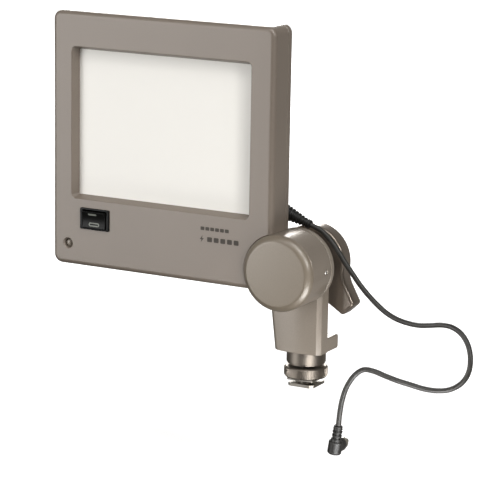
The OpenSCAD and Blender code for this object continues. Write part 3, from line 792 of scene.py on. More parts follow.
def along(axis: Axis, origin: Sequence[float]) -> Matrix:
    """The placement that lays a turned piece's own +Z along an axis.

    Args:
        axis: The axis.
        origin: Where the piece starts.

    Returns:
        The placement.
    """
    turns = {Axis.X: ("Y", 90), Axis.Y: ("X", -90), Axis.Z: ("Z", 0)}
    about, degrees = turns[axis]
    return Matrix.Translation(origin) @ Matrix.Rotation(math.radians(degrees), 4, about)


def loft(name: str, rings: Sequence[Sequence[Vector]], closed: bool = False) -> Object:
    """Joins rings of equal length into one closed solid.

    Args:
        name: The new object's name.
        rings: The rings, in order.
        closed: True where the last ring meets the first, as round a frame; otherwise both ends are capped.

    Returns:
        The new object, with its faces pointing outwards.
    """
    mesh = bpy.data.meshes.new(name)
    shape = bmesh.new()
    made = [[shape.verts.new(p) for p in ring] for ring in rings]
    for a, b in zip(made, made[1:] + made[:1] if closed else made[1:]):
        for i in range(len(a)):
            j = (i + 1) % len(a)
            shape.faces.new((a[i], a[j], b[j], b[i]))
    if not closed:
        for ring in (made[0], made[-1]):
            if (ring[0].co - ring[len(ring) // 2].co).length > POINT:
                shape.faces.new(ring)
    bmesh.ops.remove_doubles(shape, verts=shape.verts, dist=WELD)
    bmesh.ops.recalc_face_normals(shape, faces=shape.faces)
    shape.to_mesh(mesh)
    shape.free()
    made_object = bpy.data.objects.new(name, mesh)
    bpy.context.scene.collection.objects.link(made_object)
    return made_object


def turned(name: str, profile: Outline, place: Matrix, steps: int = 96, closed: bool = False) -> Object:
    """Turns a profile of (radius, height) points about its own axis, as on a lathe.

    Args:
        name: The new object's name.
        profile: The points, from one end to the other; a radius of 0 closes on the axis.
        place: Where the axis stands, as a matrix.
        steps: Segments round the axis.
        closed: True for a ring, whose profile meets itself.

    Returns:
        The new object.
    """
    turns = [2 * math.pi * i / steps for i in range(steps)]
    rings = [[place @ Vector((r * math.cos(t), r * math.sin(t), h)) for t in turns] for r, h in profile]
    return loft(name, rings, closed)


def slab(name: str, outline: Outline, y0: float, y1: float) -> Object:
    """Extrudes an (X, Z) outline from y0 to y1."""
    return loft(name, [at_y(outline, y0), at_y(outline, y1)])


def block(name: str, low: Sequence[float], high: Sequence[float]) -> Object:
    """A plain box between two corners, for cutting with or for bevelling."""
    outline = [(low[0], low[2]), (high[0], low[2]), (high[0], high[2]), (low[0], high[2])]
    return slab(name, outline, low[1], high[1])


def settle(piece: Object) -> Object:
    """Turns what a piece's modifiers make of it into its own mesh, and removes them.

    Args:
        piece: The piece, with its modifiers live.

    Returns:
        The piece, without modifiers.
    """
    bpy.context.view_layer.update()
    graph = bpy.context.evaluated_depsgraph_get()
    evaluated = piece.evaluated_get(graph)
    result = bpy.data.meshes.new_from_object(evaluated, preserve_all_data_layers=True, depsgraph=graph)
    piece.modifiers.clear()
    old, piece.data = piece.data, result
    bpy.data.meshes.remove(old)
    result.name = piece.name
    return piece


def combine(piece: Object, operation: str, others: Iterable[Object]) -> Object:
    """Joins other solids to a piece, or cuts them out of it.

    Args:
        piece: The solid that stays.
        operation: UNION, or DIFFERENCE.
        others: The solids that are used up.

    Returns:
        The piece.
    """
    for other in others:
        tool = piece.modifiers.new("tool", "BOOLEAN")
        tool.operation = operation
        tool.solver = "EXACT"
        tool.object = other
        settle(piece)
        bpy.data.objects.remove(other)
    return piece


def soften(piece: Object, width: float, segments: int = 3, sharp: float = 32) -> Object:
    """Rounds the edges that turn by more than an angle.

    Args:
        piece: The piece to round.
        width: The rounding's width; 0 leaves the edges alone.
        segments: Facets across each rounding.
        sharp: The angle, in degrees.

    Returns:
        The piece.
    """
    if width > 0:
        bevel = piece.modifiers.new("edges", "BEVEL")
        bevel.width = width
        bevel.segments = segments
        bevel.limit_method = "ANGLE"
        bevel.angle_limit = math.radians(sharp)
        bevel.miter_outer = "MITER_ARC"
        settle(piece)
    return piece


def refined(node: str, width: float, segments: int = 2) -> Object:
    """A copy of a CAD node with its flats made whole and its edges rounded.

    Args:
        node: The CAD node's name.
        width: The rounding's width.
        segments: Facets across each rounding.

    Returns:
        The new object.
    """
    mesh = frame["nodes"][node].data.copy()
    shape = bmesh.new()
    shape.from_mesh(mesh)
    bmesh.ops.remove_doubles(shape, verts=shape.verts, dist=CAD_WELD)
    bmesh.ops.dissolve_limit(shape, angle_limit=math.radians(1), verts=shape.verts, edges=shape.edges)
    clean = bpy.data.meshes.new(node + "_skin")
    shape.to_mesh(clean)
    shape.free()
    bpy.data.meshes.remove(mesh)
    clean.materials.clear()
    made = bpy.data.objects.new(node + "_skin", clean)
    bpy.context.scene.collection.objects.link(made)
    return soften(made, width, segments)


def dress(
    piece: Object,
    finish: Finish,
    body: Body,
    stands_for: Sequence[str] = (),
    sharp: float = 34,
) -> Object:
    """Gives a finished mesh its shading and material, hangs it on its body and hides the CAD nodes that it
    stands for.

    Args:
        piece: The piece, in its place.
        finish: Its finish.
        body: The body it rides on.
        stands_for: The CAD nodes that it replaces.
        sharp: The angle above which an edge is shown sharp, in degrees.

    Returns:
        The piece.
    """
    piece.data.materials.clear()
    piece.data.materials.append(finish.material())
    piece.data.polygons.foreach_set("use_smooth", [True] * len(piece.data.polygons))
    piece.data.set_sharp_from_angle(angle=math.radians(sharp))
    weigh = piece.modifiers.new("flat_faces_lead", "WEIGHTED_NORMAL")
    weigh.keep_sharp = True
    settle(piece)
    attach(piece, body.value)
    if stands_for:
        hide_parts(*stands_for)
    log.info("%s: %d faces, %s, rides on %s", piece.name, len(piece.data.polygons), finish.name, body.value)
    return piece


# --- Repeats ---


def start_tree(name: str, inputs: dict[str, str]) -> Tree:
    """Makes a Geometry Nodes tree with its named inputs.

    Args:
        name: The tree's name.
        inputs: Each input's kind of socket, by the input's name.

    Returns:
        The tree, without nodes.
    """
    tree = bpy.data.node_groups.new(name, "GeometryNodeTree")
    for title, kind in {"Geometry": "Geometry", **inputs, "Finish": "Material"}.items():
        tree.interface.new_socket(title, in_out="INPUT", socket_type="NodeSocket" + kind)
    tree.interface.new_socket("Geometry", in_out="OUTPUT", socket_type="NodeSocketGeometry")
    return tree


def end_tree(tree: Tree, placed: Socket, finish: Socket) -> Tree:
    """Ends a Geometry Nodes tree: makes its copies real and gives them their finish.

    Args:
        tree: The tree.
        placed: The copies, still as instances.
        finish: The tree's Finish input.

    Returns:
        The tree.
    """
    whole = add_node(tree, "GeometryNodeRealizeInstances", feeds={"Geometry": placed})
    dressed = add_node(
        tree,
        "GeometryNodeSetMaterial",
        feeds={"Geometry": whole.outputs["Geometry"], "Material": finish},
    )
    add_node(tree, "NodeGroupOutput", feeds={"Geometry": dressed.outputs["Geometry"]})
    return tree


def copies_tree() -> Tree:
    """The Geometry Nodes tree that repeats a shape along a row, round an axis or both.

    Returns:
        A tree with the inputs Count, Step, Turn, Growth and Finish.
    """
    made = bpy.data.node_groups.get("copies")
    if made is not None:
        return made
    tree = start_tree("copies", {"Count": "Int", "Step": "Vector", "Turn": "Vector", "Growth": "Float"})
    given = add_node(tree, "NodeGroupInput").outputs
    points = add_node(
        tree, "GeometryNodeMeshLine", {"mode": "OFFSET"}, {"Count": given["Count"], "Offset": given["Step"]}
    )
    index = add_node(tree, "GeometryNodeInputIndex").outputs["Index"]
    turn = add_node(
        tree, "ShaderNodeVectorMath", {"operation": "SCALE"}, {0: given["Turn"], "Scale": index}
    )
    size = add_node(
        tree, "ShaderNodeMath", {"operation": "MULTIPLY_ADD", 2: 1.0}, {0: index, 1: given["Growth"]}
    )
    placed = add_node(
        tree,
        "GeometryNodeInstanceOnPoints",
        feeds={
            "Points": points.outputs["Mesh"],
            "Instance": given["Geometry"],
            "Rotation": turn.outputs["Vector"],
            "Scale": size.outputs[0],
        },
    )
    return end_tree(tree, placed.outputs["Instances"], given["Finish"])


def scatter_tree() -> Tree:
    """The Geometry Nodes tree that stands a copy of one piece on each point of a mesh.

    Returns:
        A tree with the inputs Piece and Finish.
    """
    tree = start_tree("scatter", {"Piece": "Object"})
    given = add_node(tree, "NodeGroupInput").outputs
    piece = add_node(tree, "GeometryNodeObjectInfo", feeds={"Object": given["Piece"]})
    placed = add_node(
        tree,
        "GeometryNodeInstanceOnPoints",
        feeds={"Points": given["Geometry"], "Instance": piece.outputs["Geometry"]},
    )
    return end_tree(tree, placed.outputs["Instances"], given["Finish"])


def grow(piece: Object, tree: Tree, values: dict) -> Object:
    """Runs a Geometry Nodes tree on a piece and keeps the result as its mesh.

    Args:
        piece: The piece that the tree starts from.
        tree: The tree.
        values: The tree's inputs by name.

    Returns:
        The piece.
    """
    growth = piece.modifiers.new("growth", "NODES")
    growth.node_group = tree
    sockets = {s.name: s.identifier for s in tree.interface.items_tree if s.in_out == "INPUT"}
    for name, value in values.items():
        growth[sockets[name]] = value
    return settle(piece)


def repeat(
    piece: Object,
    finish: Finish,
    count: int,
    step: Sequence[float] = (0.0, 0.0, 0.0),
    turn: Sequence[float] = (0.0, 0.0, 0.0),
    growth: float = 0.0,
) -> Object:
    """Repeats a piece drawn about the origin.

    Args:
        piece: The piece.
        finish: The finish of all its copies.
        count: How many there are, the first one included.
        step: How far each copy lies from the one before.
        turn: How far each copy turns from the one before, in radians about X, Y and Z.
        growth: How much larger each copy is than the first, as a share for each step.

    Returns:
        The piece, which now holds all the copies.
    """
    values = {"Count": count, "Step": step, "Turn": turn, "Growth": growth, "Finish": finish.material()}
    return grow(piece, copies_tree(), values)


def islands(node: str) -> list[Box]:
    """The boxes of the separate solids in a CAD node.

    Args:
        node: The CAD node's name.

    Returns:
        The boxes, from left to right and then from low to high.
    """
    shape = bmesh.new()
    shape.from_mesh(frame["nodes"][node].data)
    bmesh.ops.remove_doubles(shape, verts=shape.verts, dist=CAD_WELD)
    left = set(shape.verts)
    boxes = []
    while left:
        edge = [left.pop()]
        found = list(edge)
        while edge:
            for link in edge.pop().link_edges:
                for vert in link.verts:
                    if vert in left:
                        left.remove(vert)
                        edge.append(vert)
                        found.append(vert)
        spans = [[v.co[i] for v in found] for i in range(3)]
        boxes.append(Box(Vector([min(s) for s in spans]), Vector([max(s) for s in spans])))
    shape.free()
    return sorted(boxes, key=lambda b: (round(b.mid.x, 4), round(b.mid.z, 4)))


# --- The cord ---


@dataclass
class SyncCord:
    """The black sync cord from the strain relief at the panel's rear to the right-angle plug."""

    diameter: float = 3.4 * MM
    length: float = 0.281
    sides: int = 16
    steps: int = 5
    bend_from: int = 2
    bend_to: int = 11
    route_mm: tuple[Place, ...] = (
        (4.5, -7, 109),
        (12, -5.5, 105.5),
        (18, -4, 99.5),
        (23, -2.5, 92.5),
        (27.5, -1.5, 85.5),
        (32.5, -1, 79),
        (38, -1, 72.5),
        (44, -1, 66.5),
        (50.5, -1, 61),
        (57.5, -1.5, 56.5),
        (65.5, -2.5, 53.5),
        (74, -3, 52),
        (82.5, -4, 52),
        (91, -5.5, 53.5),
        (99, -6.5, 55),
        (107, -8.5, 55),
        (114.5, -10.5, 52),
        (120, -12.5, 46),
        (123, -15, 38.5),
        (123, -17, 30),
        (119.5, -19, 23),
        (113, -21.5, 18.5),
        (105, -24, 17),
        (96.5, -26, 17.5),
        (88.5, -28.5, 19.5),
        (81, -31, 21.5),
        (73, -33, 24),
        (66, -35, 26.5),
        (59.5, -37, 27),
        (54, -39, 22.5),
        (50, -41, 15),
        (48, -42.5, 7),
        (47, -43.5, -1.5),
        (46.5, -44, -10),
    )

    def path(self) -> list[Vector]:
        """The cord's centreline: a smooth curve through the route's points.

        Returns:
            The curve's points, steps of them for each stretch of the route.
        """
        points = [Vector(p) * MM for p in self.route_mm]
        points = [2 * points[0] - points[1], *points, 2 * points[-1] - points[-2]]
        line = []
        for before, a, b, after in zip(points, points[1:], points[2:], points[3:]):
            for i in range(self.steps):
                t = i / self.steps
                bend = (2 * before - 5 * a + 4 * b - after) * t**2 + (3 * a - before - 3 * b + after) * t**3
                line.append((2 * a + (b - before) * t + bend) / 2)
        return [*line, points[-2]]

    def build(self) -> Object:
        """Sweeps the cord's round section along its path.

        Returns:
            The cord.
        """
        line = self.path()
        across = Vector((0, 1, 0))
        rings = []
        for i, point in enumerate(line):
            heading = (line[min(i + 1, len(line) - 1)] - line[max(i - 1, 0)]).normalized()
            across = (across - across.dot(heading) * heading).normalized()
            other = heading.cross(across)
            turns = [2 * math.pi * k / self.sides for k in range(self.sides)]
            spokes = [math.cos(t) * across + math.sin(t) * other for t in turns]
            rings.append([point + self.diameter / 2 * spoke for spoke in spokes])
        cord = loft("sync_cord_jacket", rings)
        cord.data.materials.append(CORD_RUBBER.material())
        cord.data.polygons.foreach_set("use_smooth", [True] * len(cord.data.polygons))
        cord.data.set_sharp_from_angle(angle=math.radians(60))
        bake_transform(cord)
        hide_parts("sync_cord")
        log.info("cord: %.1f mm long", sum((b - a).length for a, b in zip(line, line[1:])) / MM)
        return cord


# --- The light panel ---


@dataclass
class LightPanel:
    """The thin box that holds the lamp: two lacquered shells, the opal window and what shows on its faces."""

    corner_radius: float = 6 * MM
    edge_radius: float = 3.4 * MM
    wall: float = 2.4 * MM
    seam: float = 0.3 * MM
    rim_steps: int = 8
    lip_steps: int = 4
    window_corner: float = 3 * MM
    window_draft: float = 2 * MM
    window_mouth: float = 0.6 * MM
    window_lap: float = 1 * MM
    bezel: float = 1.6 * MM
    pane_edge: float = 0.3 * MM
    fit: float = 0.1 * MM
    flare: float = 0.5 * MM
    switch_lap: float = 1.1 * MM
    sensor_hole: float = 6 * MM
    sensor_chamfer: float = 0.9 * MM
    button_hole: float = 7.2 * MM
    lamp_hole: float = 5 * MM
    screw_head: float = 5.4 * MM
    screw_depth: float = 1.6 * MM
    door_gap: float = 0.3 * MM
    shell_sharp: float = 28
    ink: float = 0.05 * MM
    dash: tuple[float, float] = (2.9 * MM, 2.3 * MM)
    dash_at: tuple[float, float] = (-57.6 * MM, 104.6 * MM)
    dash_pitch: float = 3.6 * MM
    dash_count: int = 6
    bar: tuple[float, float] = (3.6 * MM, 3.2 * MM)
    bar_at: tuple[float, float] = (-52.6 * MM, 97.2 * MM)
    bar_pitch: float = 4.9 * MM
    bar_count: int = 5
    bolt_at: tuple[float, float] = (-56.6, 98.8)
    bolt_mm: tuple = ((0.6, 2.4), (-1.5, -0.4), (-0.2, -0.4), (-0.8, -2.4), (1.5, 0.5), (0.2, 0.5))

    def outer(self, box: Box, inset: float, y: float) -> list[Vector]:
        """The panel's outline at one station.

        Args:
            box: A shell's box.
            inset: How far the outline is drawn in.
            y: The station.

        Returns:
            The outline.
        """
        low = (box.low.x + inset, box.low.z + inset)
        high = (box.high.x - inset, box.high.z - inset)
        return at_y(rounded_rect(low, high, self.corner_radius - inset), y)

    def mouth(self, grow: float, y: float) -> list[Vector]:
        """The window's outline at one station.

        Args:
            grow: How much larger it is than at the front face.
            y: The station.

        Returns:
            The outline.
        """
        sheet = Box.of("diffuser_panel")
        low = (sheet.low.x + self.window_lap - grow, sheet.low.z + self.window_lap - grow)
        high = (sheet.high.x - self.window_lap + grow, sheet.high.z - self.window_lap + grow)
        return at_y(rounded_rect(low, high, self.window_corner + grow), y)

    def rim(self, box: Box, y: float, towards: int) -> list[list[Vector]]:
        """The rounded edge of a face.

        Args:
            box: The shell's box.
            y: The face's station.
            towards: 1 where the shell lies behind the face, -1 where it lies in front of it.

        Returns:
            The rings from the panel's side onto the face.
        """
        rings = []
        for i in range(self.rim_steps + 1):
            turn = math.radians(90 * i / self.rim_steps)
            inset, depth = (self.edge_radius * (1 - f(turn)) for f in (math.cos, math.sin))
            rings.append(self.outer(box, inset, y + towards * depth))
        return rings

    def barrel_hole(self, box: Box) -> Object:
        """The cutter for the round place that the hinge barrel takes, flared where it meets both faces.

        Args:
            box: The box of the shell that it cuts.

        Returns:
            The cutter.
        """
        barrel = Box.of("hinge_cap")
        radius = barrel.size.x / 2 + self.fit
        flare = self.flare
        depth = box.size.y
        profile = [
            (0, -MM),
            (radius + flare + MM, -MM),
            (radius, flare),
            (radius, depth - flare),
            (radius + flare + MM, depth + MM),
            (0, depth + MM),
        ]
        place = along(Axis.Y, (barrel.mid.x, box.low.y, barrel.mid.z))
        return turned("barrel_hole", profile, place)

    def round_hole(self, at: Vector, y0: float, y1: float, diameter: float) -> Object:
        """A plain round cutter along Y.

        Args:
            at: A point on its axis.
            y0: Its first station.
            y1: Its last station.
            diameter: Its diameter.

        Returns:
            The cutter.
        """
        place = along(Axis.Y, (at.x, y0, at.z))
        profile = [(0, 0), (diameter / 2, 0), (diameter / 2, y1 - y0), (0, y1 - y0)]
        return turned("hole", profile, place, SMALL_ROUND)

    def build_front(self) -> Object:
        """The front shell, with its window recess and its holes.

        Returns:
            The shell.
        """
        box = Box.of("front_housing")
        front, back = box.low.y, box.high.y
        sheet_y = Box.of("diffuser_panel").low.y
        inner = front + self.wall
        lip = self.window_mouth
        turns = [math.radians(90 * i / self.lip_steps) for i in range(self.lip_steps + 1)]
        rings = [self.outer(box, self.seam, back), self.outer(box, 0, back - self.seam)]
        rings += self.rim(box, front, 1)
        rings += [self.mouth(lip * (1 - math.sin(t)), front + lip * (1 - math.cos(t))) for t in turns]
        rings += [
            self.mouth(-self.window_draft, sheet_y),
            self.mouth(self.bezel - self.window_draft, sheet_y),
            self.mouth(self.bezel, inner),
            self.outer(box, self.wall, inner),
            self.outer(box, self.wall, back),
        ]
        shell = loft("front_shell", rings, closed=True)
        frame_box = Box.of("switch_frame")
        lap = self.switch_lap
        lens = Box.of("sensor_lens").mid
        bore = self.sensor_hole / 2
        chamfer, end = self.sensor_chamfer, self.wall + MM
        funnel = [(0, -MM), (bore + chamfer + MM, -MM), (bore, chamfer), (bore, end), (0, end)]
        sensor = turned("sensor_cut", funnel, along(Axis.Y, (lens.x, front, lens.z)), SMALL_ROUND)
        opening = block(
            "switch_cut",
            (frame_box.low.x + lap, front - MM, frame_box.low.z + lap),
            (frame_box.high.x - lap, inner + MM, frame_box.high.z - lap),
        )
        combine(shell, "DIFFERENCE", [self.barrel_hole(box), sensor, opening])
        return dress(shell, PANEL_PAINT, Body.HEAD, ["front_housing"], self.shell_sharp)

    def build_rear(self) -> Object:
        """The rear shell, with the battery bay's opening, the screws' counterbores and two small holes.

        Returns:
            The shell.
        """
        box = Box.of("rear_housing")
        split, back = box.low.y, box.high.y
        rings = [
            self.outer(box, self.wall, back - self.wall),
            self.outer(box, self.wall, split),
            self.outer(box, self.seam, split),
            self.outer(box, 0, split + self.seam),
            *self.rim(box, back, -1),
        ]
        shell = loft("rear_shell", rings)
        door = Box.of("battery_door")
        gap = self.door_gap
        start, end = back - self.wall - MM, back + MM
        cutters = [
            self.barrel_hole(box),
            block(
                "door_cut",
                (door.low.x - gap, start, door.low.z - gap),
                (door.high.x + gap, end, door.high.z + gap),
            ),
            self.round_hole(Box.of("test_button").mid, start, end, self.button_hole),
            self.round_hole(Box.of("ready_lamp").mid, start, end, self.lamp_hole),
        ]
        cutters += [
            self.round_hole(screw.mid, back - self.screw_depth, end, self.screw_head)
            for screw in islands("housing_screws")
        ]
        combine(shell, "DIFFERENCE", cutters)
        return dress(shell, REAR_PAINT, Body.HEAD, ["rear_housing"], self.shell_sharp)

    def build_window(self) -> Object:
        """The opal sheet at the recess's floor.

        Returns:
            The sheet.
        """
        sheet = Box.of("diffuser_panel")
        low, high = (sheet.low.x, sheet.low.z), (sheet.high.x, sheet.high.z)
        pane = slab("opal_window", rounded_rect(low, high, self.window_corner), sheet.low.y, sheet.high.y)
        soften(pane, self.pane_edge)
        return dress(pane, OPAL, Body.HEAD, ["diffuser_panel"])

    def build_screws(self) -> Object:
        """The rear shell's cross-head screws, one on each of the frame's.

        Returns:
            All the screws as one piece.
        """
        heads = islands("housing_screws")
        length = heads[0].size.y
        head, shaft, crown = 2.6 * MM, 1.3 * MM, 0.25 * MM
        rise, end, point, flank, round_off = 1.4 * MM, 0.6 * MM, 1 * MM, 0.2 * MM, 0.4 * MM
        profile = [
            (0, end - length),
            (shaft / 2, end - length),
            (shaft, end + point - length),
            (shaft, -rise),
            (head - flank, -rise),
            (head, flank - rise),
            *arc((head - round_off, -round_off - crown), round_off, 0, 60, 3),
            (head / 2, -crown * 0.3),
            (0, 0),
        ]
        screw = turned("housing_screw_set", profile, along(Axis.Y, (0, 0, 0)), TINY_ROUND)
        arm, half, deep = 1.5 * MM, 0.35 * MM, 0.8 * MM
        slots = [block("slot", (-a, -deep, -b), (a, MM, b)) for a, b in ((arm, half), (half, arm))]
        combine(screw, "DIFFERENCE", slots)
        points = bpy.data.meshes.new("screw_places")
        points.from_pydata([(h.mid.x, h.high.y, h.mid.z) for h in heads], [], [])
        screws = bpy.data.objects.new("housing_screws_set", points)
        bpy.context.scene.collection.objects.link(screws)
        grow(screws, scatter_tree(), {"Piece": screw, "Finish": STEEL.material()})
        bpy.data.objects.remove(screw)
        return dress(screws, STEEL, Body.HEAD, ["housing_screws"])

    def build_print(self) -> Object:
        """The plain marks printed low on the panel's right: a row of dashes over a bolt and a second row.

        Returns:
            All the ink as one piece.
        """
        front = Box.of("front_housing").low.y
        proud = (front - self.ink, front + self.ink)
        rows = []
        for name, size, corner, (x, z), pitch, count in (
            ("dash", self.dash, 0.5 * MM, self.dash_at, self.dash_pitch, self.dash_count),
            ("bar", self.bar, 0.6 * MM, self.bar_at, self.bar_pitch, self.bar_count),
        ):
            row = slab(name, rounded_rect((0, 0), size, corner, 3), *proud)
            row.data.transform(Matrix.Translation((x, 0, z)))
            rows.append(repeat(row, PRINT_INK, count, step=(pitch, 0, 0)))
        at_x, at_z = self.bolt_at
        sign = slab("printed_marks", [((x + at_x) * MM, (z + at_z) * MM) for x, z in self.bolt_mm], *proud)
        combine(sign, "UNION", rows)
        return dress(sign, PRINT_INK, Body.HEAD)

    def build(self) -> None:
        """Builds the panel's pieces."""
        self.build_front()
        self.build_rear()
        self.build_window()
        self.build_screws()
        self.build_print()


# --- The controls ---


@dataclass
class Controls:
    """The power switch on the front, and the test button and ready lamp on the rear."""

    lip: float = 1 * MM
    body_inset: float = 1.2 * MM
    edge: float = 0.35 * MM
    rocker_half: float = 5.5 * MM
    rocker_crest: float = 2.5 * MM
    rocker_valley: float = 1.5 * MM
    rocker_bulge: float = 0.25 * MM
    rocker_foot: float = 2.6 * MM
    rocker_edge: float = 0.3 * MM
    pivot: float = 2 * MM
    well_fit: float = 0.6 * MM
    well_wall: float = 1.25 * MM
    mark_proud: float = 0.08 * MM
    mark_root: float = 0.3 * MM
    lens_dome: float = 1.7 * MM
    lamp_dome: float = 0.8 * MM

    def build_frame(self) -> Object:
        """The switch's black frame, with its lip on the panel and the well that the rocker sits in.

        Returns:
            The frame.
        """
        box = Box.of("switch_frame")
        rocker = Box.of("rocker")
        face = box.low.y + self.lip
        well_x = (box.size.x - (rocker.size.x - self.pivot) - self.well_fit) / 2
        well_z = self.well_wall

        def ring(inset_x: float, inset_z: float, y: float, radius: float) -> list[Vector]:
            """One outline of the frame, drawn in by two insets."""
            low = (box.low.x + inset_x, box.low.z + inset_z)
            return at_y(rounded_rect(low, (box.high.x - inset_x, box.high.z - inset_z), radius, 4), y)

        deep = box.high.y - MM
        e = self.edge
        rings = [
            ring(well_x, well_z, deep, 0.3 * MM),
            ring(well_x, well_z, box.low.y + e, 0.3 * MM),
            ring(well_x - e, well_z - e, box.low.y, 0.4 * MM),
            ring(e, e, box.low.y, 0.7 * MM),
            ring(e * 0.3, e * 0.3, box.low.y + e * 0.3, 0.8 * MM),
            ring(0, 0, box.low.y + e, 0.9 * MM),
            ring(0, 0, face, 0.9 * MM),
            ring(self.body_inset, self.body_inset, face, 0.4 * MM),
            ring(self.body_inset, self.body_inset, box.high.y, 0.4 * MM),
        ]
        bezel = loft("switch_bezel", rings)
        return dress(bezel, SWITCH_PLASTIC, Body.HEAD, ["switch_frame"])

    def build_rocker(self) -> None:
        """The rocker with its two hollowed faces, and a printed bar and ring on them."""
        joint = next(j for j in frame["joints"] if j["name"] == "rocker_tilt")
        tilt = math.radians(joint["range_deg"][1] / 2)
        box = Box.of("rocker")
        half = (box.size.x - self.pivot) / 2
        h, foot = self.rocker_half, self.rocker_foot
        face = [(self.rocker_face(h * i / 8), h * i / 8) for i in range(8, -9, -1)]
        section = [*face, (0, -h), (foot, -h / 2), (foot, h / 2), (0, h)]
        rocker = loft("switch_rocker", [[Vector((x, y, z)) for y, z in section] for x in (-half, half)])
        soften(rocker, self.rocker_edge, sharp=45)
        place = Matrix.Translation(joint["pos_m"]) @ Matrix.Rotation(tilt, 4, "X")
        rocker.data.transform(place)
        dress(rocker, SWITCH_PLASTIC, Body.ROCKER, ["rocker"], sharp=40)
        ink = (-self.mark_proud, self.mark_root)
        outlines = (
            ("mark_on", (-3.7, 3.1), (2.7, 4.5), 0.5, 4, ink),
            ("mark_off", (-3.8, -4.4), (4.4, -1.8), 1.2, 6, ink),
            ("hole", (-2.9, -3.6), (3.5, -2.6), 0.45, 6, (-MM, MM)),
        )
        bar, ring, hole = (
            slab(name, [(x * MM, z * MM) for x, z in rounded_rect(low, high, radius, steps)], *depth)
            for name, low, high, radius, steps, depth in outlines
        )
        combine(ring, "DIFFERENCE", [hole])
        for mark in (bar, ring):
            for vertex in mark.data.vertices:
                vertex.co.y += self.rocker_face(vertex.co.z)
            mark.data.transform(place)
            dress(mark, MARK_INK, Body.ROCKER)

    def rocker_face(self, z: float) -> float:
        """How far back the rocker's face lies: two slopes up to the ends, each with a shallow swelling.

        Args:
            z: The height above the rocker's pivot.

        Returns:
            The face's place along Y, from the pivot.
        """
        share = abs(z) / self.rocker_half
        bulge = self.rocker_bulge * math.sin(math.pi * share)
        return bulge - self.rocker_valley - (self.rocker_crest - self.rocker_valley) * share

    def build_button(self) -> Object:
        """The test button: a post with a dished top, a flange behind the wall and a stem.

        Returns:
            The button.
        """
        box = Box.of("test_button")
        top = box.size.y
        post, flange, stem = 3.5 * MM, 4.5 * MM, 1.4 * MM
        edge, thick, travel = 0.4 * MM, 1.2 * MM, 5.8 * MM
        wall = top - travel
        profile = [
            (0, 0),
            (stem, 0),
            (stem, wall),
            (flange, wall),
            (flange, wall + thick),
            (post, wall + thick),
            *arc((post - edge, top - edge), edge, 0, 90, 4),
            (post * 0.6, top - edge * 0.625),
            (post * 0.3, top - edge * 0.95),
            (0, top - edge),
        ]
        place = along(Axis.Y, (box.mid.x, box.low.y, box.mid.z))
        button = turned("test_button_cap", profile, place, FAIR_ROUND)
        return dress(button, BLACK_PLASTIC, Body.BUTTON, ["test_button"])

    def build_lamp(self) -> Object:
        """The ready lamp: an amber dome with a flange behind the wall.

        Returns:
            The lamp.
        """
        box = Box.of("ready_lamp")
        radius, flange, shoulder, setback = 2.45 * MM, 3.5 * MM, 3 * MM, 0.3 * MM
        rise = box.size.y - setback
        profile = [
            (0, 0),
            (flange, 0),
            (flange, shoulder),
            (radius, shoulder),
            (radius, rise),
            *dome(radius, self.lamp_dome, rise, 15, 15),
            (0, rise + self.lamp_dome),
        ]
        place = along(Axis.Y, (box.mid.x, box.low.y, box.mid.z))
        lamp = turned("ready_lamp_dome", profile, place, SMALL_ROUND)
        return dress(lamp, LAMP_LENS, Body.HEAD, ["ready_lamp"])

    def build_sensor(self) -> Object:
        """The sensor's lens: a short barrel behind the wall with a dome that nearly fills its hole.

        Returns:
            The lens.
        """
        box = Box.of("sensor_lens")
        radius = box.size.x / 2
        profile = [
            (0, box.size.y),
            (radius, box.size.y),
            *dome(radius, -self.lens_dome, 0, 10),
            (0, -self.lens_dome),
        ]
        place = along(Axis.Y, (box.mid.x, box.low.y, box.mid.z))
        lens = turned("sensor_lens_dome", profile[::-1], place, SMALL_ROUND)
        return dress(lens, SENSOR_LENS, Body.HEAD, ["sensor_lens"])

    def build(self) -> None:
        """Builds the controls."""
        self.build_sensor()
        self.build_frame()
        self.build_rocker()
        self.build_button()
        self.build_lamp()


@dataclass
class BatteryDoor:
    """The flat door over the cells, hinged on its lower edge."""

    thickness: float = 2.2 * MM
    ridge_length: float = 20 * MM
    ridge_height: float = 0.5 * MM
    ridge_width: float = 1 * MM
    ridge_pitch: float = 2 * MM
    ridge_count: int = 4
    ridge_corner: float = 0.45 * MM
    ridge_root: float = 0.3 * MM
    ridge_drop: float = 2.5 * MM
    plate_edge: float = 0.35 * MM
    ridge_edge: float = 0.2 * MM

    def build(self) -> None:
        """The door's plate with its round hinge edge, and the thumb ridges."""
        box = Box.of("battery_door")
        back = box.high.y - self.ridge_height
        front = back - self.thickness
        r = self.thickness / 2
        hinge = (back - r, box.low.z + r)
        section = [(back, box.high.z), *arc(hinge, r, 0, -180, 10), (front, box.high.z)]
        sides = (box.low.x, box.high.x)
        door = loft("door_plate", [[Vector((x, y, z)) for y, z in section] for x in sides])
        soften(door, self.plate_edge, sharp=50)
        dress(door, REAR_PAINT, Body.DOOR, ["battery_door"])
        long, wide = self.ridge_length / 2, self.ridge_width / 2
        outline = rounded_rect((-long, -wide), (long, wide), self.ridge_corner, 4)
        bar = slab("door_ridges", outline, -self.ridge_root, self.ridge_height)
        soften(bar, self.ridge_edge, 2)
        repeat(bar, REAR_PAINT, self.ridge_count, step=(0, 0, -self.ridge_pitch))
        bar.data.transform(Matrix.Translation((box.mid.x, back, box.high.z - self.ridge_drop)))
        dress(bar, REAR_PAINT, Body.DOOR)


# --- The swing hinge ---


